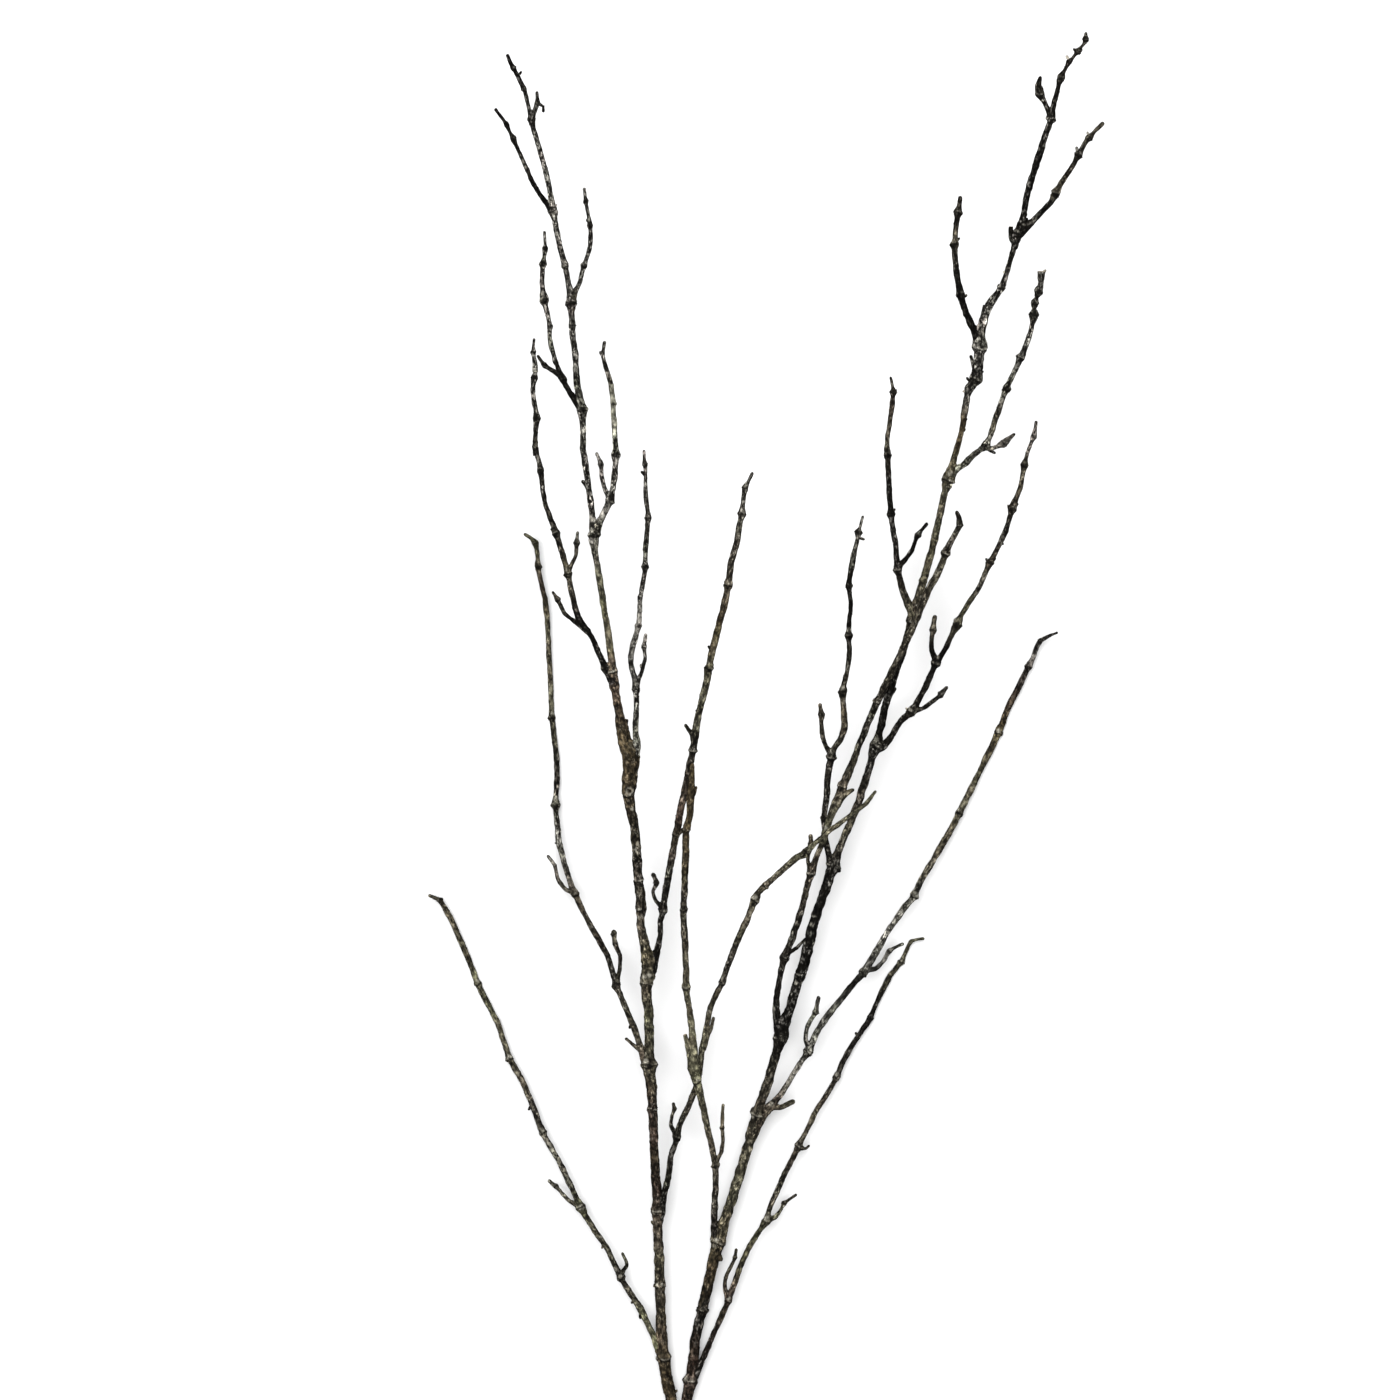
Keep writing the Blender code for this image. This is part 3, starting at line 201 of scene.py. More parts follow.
        (848.5, 827, 40, 6.4), (859.5, 800, 42, 6.2), (870, 765, 44, 6.2),
        (876, 747, 45, 9.8, KNOT), (879, 734, 46, 6.2), (886.5, 703, 48.5, 6.4),
        (895.5, 673, 50.5, 6.4), (904.5, 647, 52.6, 6.4), (911.5, 622, 54.3, 9.0, KNOT),
        (924.5, 576, 58.6, 6.6), (934.5, 539, 61.8, 6.2), (943, 502, 65.2, 5.8),
        (947.5, 481, 67, 9.8, KNOT), (955, 456, 70.4, 5.4), (962, 430, 73.4, 5.0),
        (964, 418, 74.7, 6.0), (967, 396, 77.3, 5.4), (969, 389, 78.1, 7.6),
        (975.5, 380, 79, 9.0, KNOT), (977.5, 367, 80.8, 8.4), (980, 348, 83, 11.2, KNOT),
        (980.5, 337, 84.5, 7.0), (985, 315, 87.8, 7.2), (990, 304, 89.6, 6.4),
        (1001, 288, 92.4, 6.8, KNOT), (1008.5, 267, 96, 4.2), (1012.5, 254, 98.4, 4.4),
        (1017.5, 233, 102.4, 7.2, KNOT), (1021.5, 224, 104, 6.4), (1024.5, 211, 106.2, 5.0),
        (1026.5, 197, 108.8, 5.0), (1036, 165, 114.6, 5.8), (1046, 133, 120, 5.2),
        (1050.5, 120, 122, 7.8, KNOT), (1057.5, 89, 127.6, 4.0), (1061.5, 77, 130, 6.2, KNOT),
        (1069.5, 62, 133, 5.0, KNOT), (1078, 51.5, 135.2, 5.8, KNOT),
        (1085.5, 40, 137.2, 5.4, KNOT), (1086, 32, 138, 2.0),
    ],
    "right_branch_1": [
        (691, 1382, 10.5, 5.6), (699, 1368, 11, 4.8), (706, 1352, 11.8, 4.8),
        (714, 1333, 12.8, 4.8), (728, 1301, 14.2, 6.0, KNOT), (740, 1267, 15, 4.6),
        (752, 1243, 15.4, 4.8), (759, 1231, 15.4, 4.4), (766, 1222, 15.4, 7.2, KNOT),
        (769, 1210, 15.2, 4.4), (782, 1180, 14.4, 4.8), (798.5, 1146, 13, 6.4, KNOT),
        (805, 1134, 12.2, 4.2), (814, 1115, 11.2, 4.4), (836, 1078, 8.8, 6.8, KNOT),
        (842, 1064, 8, 4.4), (849, 1050, 7.2, 4.8), (870.5, 1017, 5, 6.6, KNOT),
        (876, 1004, 4.4, 4.0), (882, 991, 3.8, 4.8), (890, 976, 3.2, 4.8),
        (900.5, 962, 2.1, 5.4, KNOT), (907, 950, 3.0, 3.2), (910.5, 942, 3.8, 4.0, KNOT),
        (924.5, 938.5, 5, 2.2),
    ],
    "right_branch_2": [
        (718, 1243, 15.4, 6.4), (714, 1225, 18.6, 5.2), (714.5, 1205, 22.4, 5.0),
        (715.5, 1185, 26.4, 4.4), (715.5, 1166, 30.2, 6.0, KNOT), (712, 1147, 34, 4.6),
        (708, 1130, 37.6, 4.4), (697.5, 1082, 46.6, 7.2, KNOT), (693.7, 1069, 48.8, 9.4),
        (693.2, 1049, 51.2, 7.0), (692.8, 1040, 52.2, 5.4), (689.2, 1010, 54.8, 4.5),
        (686.4, 988, 56.4, 7.0, KNOT), (686.2, 970, 57.6, 4.6), (685, 945, 59.2, 4.8),
        (683.6, 909, 61.4, 6.2, KNOT), (684.2, 888, 62.8, 4.8), (685.5, 860, 65, 5.2),
        (686.5, 830, 68, 6.2, KNOT), (689.8, 815, 70.4, 5.0), (690.6, 799, 72, 5.2),
        (691.6, 786, 74, 5.0), (692, 772, 76, 4.0), (692.4, 763, 77, 2.6),
    ],
    "right_branch_3": [
        (753, 1132, 21.2, 6.4), (759.5, 1120, 22, 8.0), (767, 1110.5, 23, 7.2),
        (774.5, 1102, 23.7, 5.8), (781, 1094, 24.4, 4.8), (800, 1064, 25.4, 4.4),
        (808.5, 1052, 25.6, 7.2, KNOT), (814, 1038, 25.6, 5.4), (822, 1024, 25.2, 5.4),
        (831, 1011, 24.6, 5.4), (842, 998, 23.8, 5.2), (854, 983, 22.8, 4.8),
        (862, 974, 22, 7.2, KNOT), (870, 962, 21, 5.8), (886, 934, 18.6, 4.8),
        (904, 909, 16.2, 5.2), (914, 896, 15, 7.4, KNOT), (920, 883, 14, 4.8),
        (944, 842, 10.6, 5.4), (959, 814, 8.6, 7.2, KNOT), (971, 789, 6.8, 5.0),
        (980, 771, 5.6, 4.6), (988, 755, 4.6, 5.4), (998, 733.5, 2.9, 7.4, KNOT),
        (1002, 724, 3.6, 4.8), (1009, 707, 4.2, 5.2), (1023, 678, 5.6, 5.0),
        (1028, 667, 6, 7.2, KNOT), (1033, 658, 6.8, 4.4), (1040, 641, 8.6, 4.4, KNOT),
        (1047, 637, 9.8, 3.0), (1058, 632.5, 11.4, 1.8),
    ],
    "right_branch_4": [
        (782, 1038, 27.6, 6.0), (778.5, 1026, 28.4, 6.8), (776, 1012, 29.4, 6.0),
        (776.5, 998, 30.6, 5.0), (778.5, 984, 32, 4.8), (784, 958, 35, 7.4, KNOT),
        (793, 936, 37.8, 5.8), (798, 922, 39.4, 5.4), (808, 884, 43.4, 5.2),
        (811, 873.5, 44.6, 7.0, KNOT), (819, 851, 47.2, 4.8), (823, 842, 48.2, 5.8),
        (826, 830, 49.4, 6.2), (831, 816, 51, 6.0), (836, 804, 52.2, 7.2),
        (842.5, 787, 54.4, 7.4, KNOT), (853.5, 760, 57.4, 5.6), (866, 728, 60.8, 5.6),
        (877, 703, 63.4, 6.6, KNOT), (891, 674, 66, 5.6), (904.5, 645, 68.8, 5.6),
        (917, 618, 71.8, 5.4), (928.5, 590, 74.4, 5.6), (935.5, 577, 75.6, 5.4),
        (945.5, 553.5, 77.8, 7.8, KNOT), (950, 543, 78.8, 4.8), (959.5, 525, 80.8, 5.6, KNOT),
        (959, 518, 81.6, 4.4), (956, 510.5, 82.4, 3.0),
    ],
    "right_branch_5": [
        (833, 868, 37, 6.0), (829, 857, 37.4, 4.4), (826.5, 845, 38, 4.6), (825, 831, 39, 4.4),
        (824, 819, 39.8, 5.6, KNOT), (826.5, 800, 41, 4.8), (829.5, 766, 43.6, 5.4),
        (831.5, 758, 44.2, 7.6, KNOT), (834, 749, 45, 4.8), (841, 739, 45.8, 4.6),
        (844.5, 727, 46.8, 4.8), (844, 714, 48, 4.6), (842.5, 692, 50, 7.6, KNOT),
        (848.5, 664, 52.4, 3.8), (849.5, 650, 53.6, 4.0), (848.5, 635, 55, 7.0, KNOT),
        (850.5, 603, 58.2, 3.6), (849, 586, 60, 6.4, KNOT), (853, 560, 62.8, 4.4),
        (859, 532, 66, 6.4, KNOT), (863.5, 515, 68, 2.0),
    ],
    "right_branch_6": [
        (875, 749, 45, 6.4), (883, 746.5, 45.6, 6.0), (889, 740, 46.2, 5.6), (900, 722, 47.8, 4.8),
        (910.5, 712, 49, 7.6, KNOT), (916, 705, 49.8, 5.4), (921, 695, 50.8, 5.2),
        (928, 682, 52.2, 5.2), (936, 664, 54.2, 7.8, KNOT), (946, 648, 56.2, 4.4),
        (951.5, 636, 57.8, 4.6), (956.5, 625, 59.2, 8.0, KNOT), (961, 615, 60.4, 4.4),
        (975, 594, 63.2, 4.4), (982, 581, 64.8, 4.2), (990.5, 562, 67.2, 7.4, KNOT),
        (1001, 542, 70, 4.6), (1006.5, 529, 71.6, 4.4), (1012, 509, 74.4, 7.8, KNOT),
        (1020, 488, 77.4, 4.2), (1024.5, 465, 80.6, 6.6, KNOT), (1028, 451, 82.6, 3.4),
        (1033.5, 436.5, 84.8, 5.2, KNOT), (1036.5, 421, 87, 2.8),
    ],
    "right_branch_7": [
        (913, 615, 55, 6.0), (908, 604, 55.8, 5.8), (903.5, 592, 56.4, 5.2),
        (897.5, 570, 57.6, 6.6, KNOT), (895.5, 545, 59.8, 4.2), (891, 514, 62.8, 6.6, KNOT),
        (889, 485, 65.8, 4.4), (887.5, 455.5, 68.6, 6.6, KNOT), (887.5, 440, 70.2, 4.0),
        (892, 405, 73.8, 3.8), (893, 392, 75.2, 6.4, KNOT), (890.5, 377, 76.8, 2.4),
    ],
    "right_branch_8": [
        (948, 482, 67, 6.4), (954, 471, 67.6, 5.2), (962, 466, 68.4, 4.4),
        (967, 462, 69, 5.8, KNOT), (973, 455, 70, 4.6), (985, 446, 72, 6.4, KNOT),
        (989.5, 438, 73.2, 3.8), (996, 417, 76.4, 4.8), (1003, 398, 79.4, 3.8),
        (1006, 389, 80.8, 7.6, KNOT), (1016, 368, 84.2, 4.2), (1020.5, 358.5, 85.6, 6.8, KNOT),
        (1026, 346, 87.4, 4.2), (1030.5, 333, 89.4, 3.8), (1034, 314, 92.2, 7.8, KNOT),
        (1034.5, 308, 93, 3.4), (1035, 302.5, 93.8, 6.8, KNOT), (1037, 297, 94.8, 3.2),
        (1038.6, 292, 95.6, 7.4, KNOT), (1040.2, 286, 96.4, 2.8), (1041, 279, 97.5, 5.0),
        (1041.4, 271.5, 98.4, 6.8),
    ],
    "right_branch_9": [
        (981, 345, 83.6, 5.6), (975.5, 334, 84.4, 5.2), (966, 313, 86.4, 4.6),
        (960.5, 295, 88.2, 6.8, KNOT), (956, 270, 91, 4.4), (954.5, 245, 93.8, 6.6, KNOT),
        (955.5, 231, 95.2, 3.8), (958, 213, 97, 6.4, KNOT), (960.5, 195.5, 98.8, 3.0),
    ],
    "right_branch_10": [
        (1017.5, 236, 102.2, 6.0), (1026, 228, 103, 5.6), (1034, 220, 103.6, 4.8),
        (1050, 203, 105, 4.2), (1056, 194, 105.8, 7.2, KNOT), (1061, 184, 106.8, 4.0),
        (1073, 165, 108.4, 3.8), (1078, 155, 109.4, 6.6, KNOT), (1089.5, 137.5, 111, 6.4, KNOT),
        (1104, 122, 112.6, 3.0),
    ],
}

# The spurs of each piece, as routes that start on its own.
SPURS = {
    "left_limb": [
        [(532, 121, 103, 3.4), (535, 109, 104.4, 2.8), (537, 103, 105.2, 4.2, KNOT),
         (537, 91, 107, 2.2)],
    ],
    "left_branch_1": [
        [(621, 1276, 14, 3.2), (627, 1265, 15.6, 2.2), (625, 1258, 16.6, 2.2),
         (622, 1252, 17.4, 1.8)],
        [(579, 1207, 12.8, 3.4), (570, 1201, 12.2, 2.8), (563, 1194, 11.6, 2.6),
         (556, 1187, 11, 3.8, KNOT), (548, 1180, 10.4, 2.0)],
    ],
    "left_branch_2": [
        [(676, 1136, 31.8, 3.4), (671, 1125, 33.6, 2.4), (672, 1115, 35.2, 2.4),
         (674, 1109, 36.2, 3.8, KNOT), (673, 1102, 37.4, 2.0)],
        [(704, 1046, 40.6, 3.4), (708, 1035, 43, 2.6), (711, 1028, 45, 2.4),
         (714, 1017, 47.6, 1.8)],
    ],
    "left_branch_3": [
        [(574, 893, 19.2, 3.4), (566, 890, 18.8, 2.6), (559, 881, 18, 2.6),
         (555, 866, 17, 3.4, KNOT), (547, 855, 16.4, 2.0)],
        [(617, 982, 30.2, 3.4), (620, 968, 31.2, 2.6), (620, 956, 31.8, 2.6),
         (615, 944, 32.4, 4.2, KNOT), (614, 939.5, 32.8, 3.2), (613.5, 934, 33, 4.8, KNOT),
         (613, 930, 33.2, 4.0)],
        [(643, 1050, 37, 3.4), (637, 1048, 38.2, 2.4), (630, 1042, 39.4, 2.4),
         (625, 1038, 40, 1.8)],
    ],
    "left_branch_4": [
        [(662, 909, 53.8, 3.4), (656, 901, 54.6, 2.4), (653, 892, 55.4, 2.4),
         (656, 883, 56.6, 4.4, KNOT), (654.8, 879, 57, 3.0), (653.2, 875.5, 57.4, 4.0, KNOT),
         (652.5, 873, 57.6, 3.2)],
        [(693, 736, 74, 3.2), (689, 730, 74.6, 2.4), (685, 724, 75, 1.8)],
    ],
    "left_branch_5": [
        [(636.5, 686, 74, 3.4), (642, 671, 76, 2.4), (645, 658, 78, 2.4),
         (644, 647, 80, 4.0, KNOT), (646, 633, 82, 2.0)],
    ],
    "left_branch_6": [
        [(586, 630, 70, 3.2), (574, 621, 68.6, 3.0), (565, 613.5, 67.6, 2.8),
         (558, 600, 66.6, 3.8, KNOT), (552, 591, 65.8, 2.0)],
        [(568, 574, 67, 3.4), (572, 564, 68.2, 2.6), (576, 555, 69.4, 2.6),
         (577, 543, 71, 5.0, KNOT), (578, 531, 72.6, 2.0)],
    ],
    "left_branch_7": [
        [(609, 499, 87.6, 3.4), (605, 489, 87.2, 3.0), (602, 477, 86.6, 2.8),
         (601, 464, 86, 4.2, KNOT), (596, 452, 85.4, 2.0)],
    ],
    "left_branch_8": [
        [(563, 379, 84.6, 3.4), (554, 372, 83.2, 3.0), (544, 365, 81.6, 4.0, KNOT),
         (537, 355, 80.2, 2.0)],
    ],
    "right_limb": [
        [(1050, 117, 122.6, 3.6), (1045.5, 104, 124, 3.2), (1040, 94, 125.4, 6.6, KNOT),
         (1038.5, 86, 127, 4.6), (1041, 76, 128.6, 2.0)],
        [(1016, 244, 102, 3.2), (1011.6, 239.5, 103, 2.8), (1010.8, 234, 103.4, 2.6),
         (1011, 226.5, 104, 2.6)],
        [(715, 1251, 15.4, 4.0), (719, 1256, 15.8, 3.0), (722, 1261, 16.2, 2.2)],
        [(833, 869, 36.8, 4.0), (841, 871, 37, 1.8)],
    ],
    "right_branch_1": [
        [(728, 1300, 14.4, 3.4), (725, 1289, 15.6, 3.0), (725, 1280, 16.4, 2.6),
         (729, 1270, 17.4, 2.6), (735, 1258, 18.4, 3.2, KNOT), (736, 1248, 19, 2.0)],
        [(766, 1221, 15.4, 3.6), (775, 1217, 15, 3.2), (780, 1211, 14.4, 2.4),
         (784, 1204, 13.8, 4.2, KNOT), (797, 1194, 13, 1.8)],
        [(799, 1147, 13, 3.4), (805, 1148.5, 13, 2.0), (810, 1145, 13.2, 1.6)],
    ],
    "right_branch_2": [
        [(689.5, 1054, 50.6, 4.2), (687.5, 1044, 52.4, 3.4), (684.8, 1035, 54.2, 2.4)],
        [(716, 1164, 30.4, 3.4), (721, 1153, 31.8, 2.6), (723, 1141, 33.4, 2.6),
         (722, 1128, 35.4, 3.6, KNOT), (723, 1104, 39, 2.0)],
        [(690.5, 798, 70.4, 3.0), (694, 793, 70.2, 2.6), (696.5, 786, 70.2, 1.8)],
    ],
    "right_branch_3": [
        [(769, 1107, 23.2, 4.4), (780, 1107.5, 23, 4.0), (787, 1104.5, 22.6, 3.8),
         (795, 1100.5, 22.2, 3.4)],
        [(809, 1050, 26, 3.6), (805.5, 1040, 28, 2.8), (806.5, 1029, 29.6, 2.8),
         (815, 1012.5, 32, 4.8, KNOT), (818.5, 996, 34, 3.0)],
        [(864, 971, 21.6, 3.6), (875, 969, 20.6, 3.0), (883, 962, 19.6, 2.6),
         (890, 951, 18.6, 4.0, KNOT), (904, 943, 17.6, 2.0)],
    ],
    "right_branch_4": [
        [(785, 957, 35, 3.4), (789, 953, 32.4, 2.6), (796, 948, 26.4, 2.4), (806, 938, 21.4, 2.0)],
        [(810, 872, 44.8, 3.4), (807.5, 860, 46.5, 2.4), (809, 852, 48.2, 2.6),
         (811, 844, 50, 4.4, KNOT), (810.5, 834, 52, 3.2)],
        [(838, 803, 52.4, 4.4), (846, 794, 53, 3.8), (854, 789, 53.6, 3.0)],
    ],
    "right_branch_5": [
        [(831, 756, 44.4, 3.6), (826, 746, 44.2, 3.2), (822.5, 734, 44, 3.0),
         (821, 724, 43.8, 3.2), (821.5, 715, 43.6, 5.2, KNOT), (819.5, 703, 43.4, 2.4)],
    ],
    "right_branch_6": [
        [(936, 662, 54.4, 3.8), (932.5, 652, 55.6, 3.4), (931.5, 642, 56.6, 3.2),
         (933, 630, 58, 5.4, KNOT), (935, 615, 60, 3.0)],
        [(912, 711.5, 49, 3.8), (922, 709, 48.6, 3.0), (931, 703, 48, 2.8),
         (940.5, 695, 47.2, 5.6, KNOT), (948, 686.5, 46.4, 2.4)],
    ],
    "right_branch_7": [
        [(898, 569, 57.6, 3.8), (906, 559, 58.4, 3.2), (912, 550.5, 59.2, 3.0),
         (917.5, 535.5, 60.6, 5.2, KNOT), (927.5, 523, 62, 2.0)],
    ],
    "right_branch_8": [
        [(985, 447, 72, 3.8), (991, 448.5, 72.2, 3.2), (997, 446.5, 72.6, 2.8),
         (1003.5, 443.5, 73, 6.0, KNOT), (1009, 438.5, 73.5, 3.2), (1015, 433.5, 74, 1.8)],
    ],
}

# Bark colours as linear light, each with how blotchy it is.
BLACK = (0.0026, 0.0024, 0.0021, 1.0)
JET = (0.0013, 0.0012, 0.001, 0.3)
DARK = (0.026, 0.0235, 0.0185, 1.0)
DARK_RED = (0.031, 0.0215, 0.016, 0.75)
BROWN = (0.051, 0.038, 0.0215, 0.6)
RED_BROWN = (0.053, 0.039, 0.028, 0.65)
GREY_BROWN = (0.064, 0.0555, 0.040, 0.7)
OLIVE = (0.076, 0.071, 0.047, 0.65)
PALE_OLIVE = (0.112, 0.105, 0.069, 0.4)
ASH = (0.106, 0.101, 0.089, 1.0)
GREY = (0.158, 0.152, 0.134, 1.0)
LIGHT_GREY = (0.215, 0.205, 0.18, 0.6)
PALE = (0.270, 0.255, 0.212, 0.2)
BUD_DARK = (0.0026, 0.0023, 0.002, 0.5)
CUT_WOOD = (0.32, 0.245, 0.145, 0.0)
PITH = (0.12, 0.075, 0.045, 0.0)

# The bark of each piece from its base to its tips: pixels down in the photograph, and the colour
# there.
TONES = {
    "left_limb": (
        (1523, BROWN), (1380, BROWN), (1280, GREY_BROWN), (1190, DARK_RED), (1105, DARK_RED),
        (1030, OLIVE), (930, GREY_BROWN), (860, DARK), (760, BROWN), (680, RED_BROWN),
        (630, PALE_OLIVE), (580, OLIVE), (510, GREY), (430, ASH), (340, ASH), (260, ASH),
        (175, GREY), (80, BLACK),
    ),
    "left_branch_1": (
        (1335, PALE_OLIVE), (1270, DARK), (1215, OLIVE), (1156, ASH), (1090, GREY_BROWN),
        (1030, OLIVE), (975, OLIVE), (910, GREY_BROWN),
    ),
    "left_branch_2": (
        (1195, BLACK), (1125, DARK), (1070, OLIVE), (1010, GREY_BROWN), (965, DARK),
        (920, GREY_BROWN), (890, GREY_BROWN), (850, OLIVE), (800, OLIVE),
    ),
    "left_branch_3": (
        (1040, GREY_BROWN), (967, DARK), (900, GREY_BROWN), (835, GREY), (770, DARK), (700, OLIVE),
        (630, OLIVE), (590, RED_BROWN), (540, OLIVE),
    ),
    "left_branch_4": (
        (950, BLACK), (875, DARK), (810, RED_BROWN), (750, DARK), (690, OLIVE), (620, BROWN),
        (480, ASH),
    ),
    "left_branch_5": (
        (745, GREY), (702, GREY), (664, BLACK), (625, LIGHT_GREY), (585, ASH), (530, DARK),
        (460, ASH),
    ),
    "left_branch_6": (
        (665, BLACK), (620, BLACK), (580, GREY_BROWN), (535, DARK), (440, DARK), (380, ASH),
        (340, GREY),
    ),
    "left_branch_7": (
        (530, GREY), (515, LIGHT_GREY), (500, GREY), (478, GREY), (440, GREY), (424, LIGHT_GREY),
        (402, PALE), (380, DARK), (345, ASH),
    ),
    "left_branch_8": (
        (405, BLACK), (380, JET), (366, BLACK), (335, GREY), (310, GREY), (266, GREY), (230, ASH),
    ),
    "left_branch_9": ((300, GREY_BROWN), (275, GREY), (240, ASH), (190, ASH)),
    "left_branch_10": (
        (210, JET), (180, JET), (167, DARK), (150, BLACK), (138, JET), (126, JET), (108, JET),
    ),
    "right_limb": (
        (1523, BROWN), (1385, DARK_RED), (1355, DARK_RED), (1320, BLACK), (1270, BROWN),
        (1200, OLIVE), (1110, GREY_BROWN), (1030, BLACK), (870, BLACK), (830, GREY_BROWN),
        (760, BLACK), (660, BLACK), (600, GREY_BROWN), (560, GREY_BROWN), (510, OLIVE),
        (420, BROWN), (394, ASH), (378, BLACK), (360, ASH), (290, ASH), (240, BLACK), (150, BLACK),
        (40, DARK),
    ),
    "right_branch_1": (
        (1370, BLACK), (1300, DARK_RED), (1237, OLIVE), (1180, DARK), (1123, GREY_BROWN),
        (1060, DARK), (1010, BLACK), (950, OLIVE),
    ),
    "right_branch_2": (
        (1220, DARK), (1150, GREY_BROWN), (1090, PALE_OLIVE), (1030, PALE_OLIVE), (970, OLIVE),
        (910, DARK), (850, BROWN), (790, BROWN),
    ),
    "right_branch_3": (
        (1110, GREY_BROWN), (1040, GREY), (982, JET), (940, GREY), (918, LIGHT_GREY), (895, GREY),
        (850, GREY_BROWN), (790, OLIVE), (725, BROWN), (690, DARK_RED), (655, ASH),
    ),
    "right_branch_4": (
        (1010, BLACK), (935, DARK), (860, GREY_BROWN), (830, OLIVE), (790, GREY_BROWN), (730, DARK),
        (620, GREY_BROWN), (520, DARK),
    ),
    "right_branch_5": (
        (850, DARK), (800, DARK), (750, DARK), (710, GREY_BROWN), (660, DARK), (625, JET),
        (580, BLACK), (530, ASH),
    ),
    "right_branch_6": (
        (740, BLACK), (698, DARK), (668, JET), (645, JET), (622, GREY_BROWN), (604, GREY_BROWN),
        (588, DARK), (566, GREY_BROWN), (530, BLACK), (490, GREY_BROWN), (430, ASH),
    ),
    "right_branch_7": (
        (600, GREY_BROWN), (560, BLACK), (480, BLACK), (421, GREY_BROWN), (390, DARK),
    ),
    "right_branch_8": (
        (470, LIGHT_GREY), (448, ASH), (425, GREY_BROWN), (398, ASH), (370, ASH), (343, GREY),
        (312, DARK), (270, ASH),
    ),
    "right_branch_9": (
        (340, JET), (325, JET), (290, JET), (275, BLACK), (258, DARK), (240, GREY_BROWN),
        (224, JET), (200, DARK),
    ),
    "right_branch_10": (
        (232, BLACK), (216, BLACK), (203, BLACK), (188, GREY_BROWN), (173, DARK), (150, DARK),
        (125, GREY_BROWN),
    ),
}

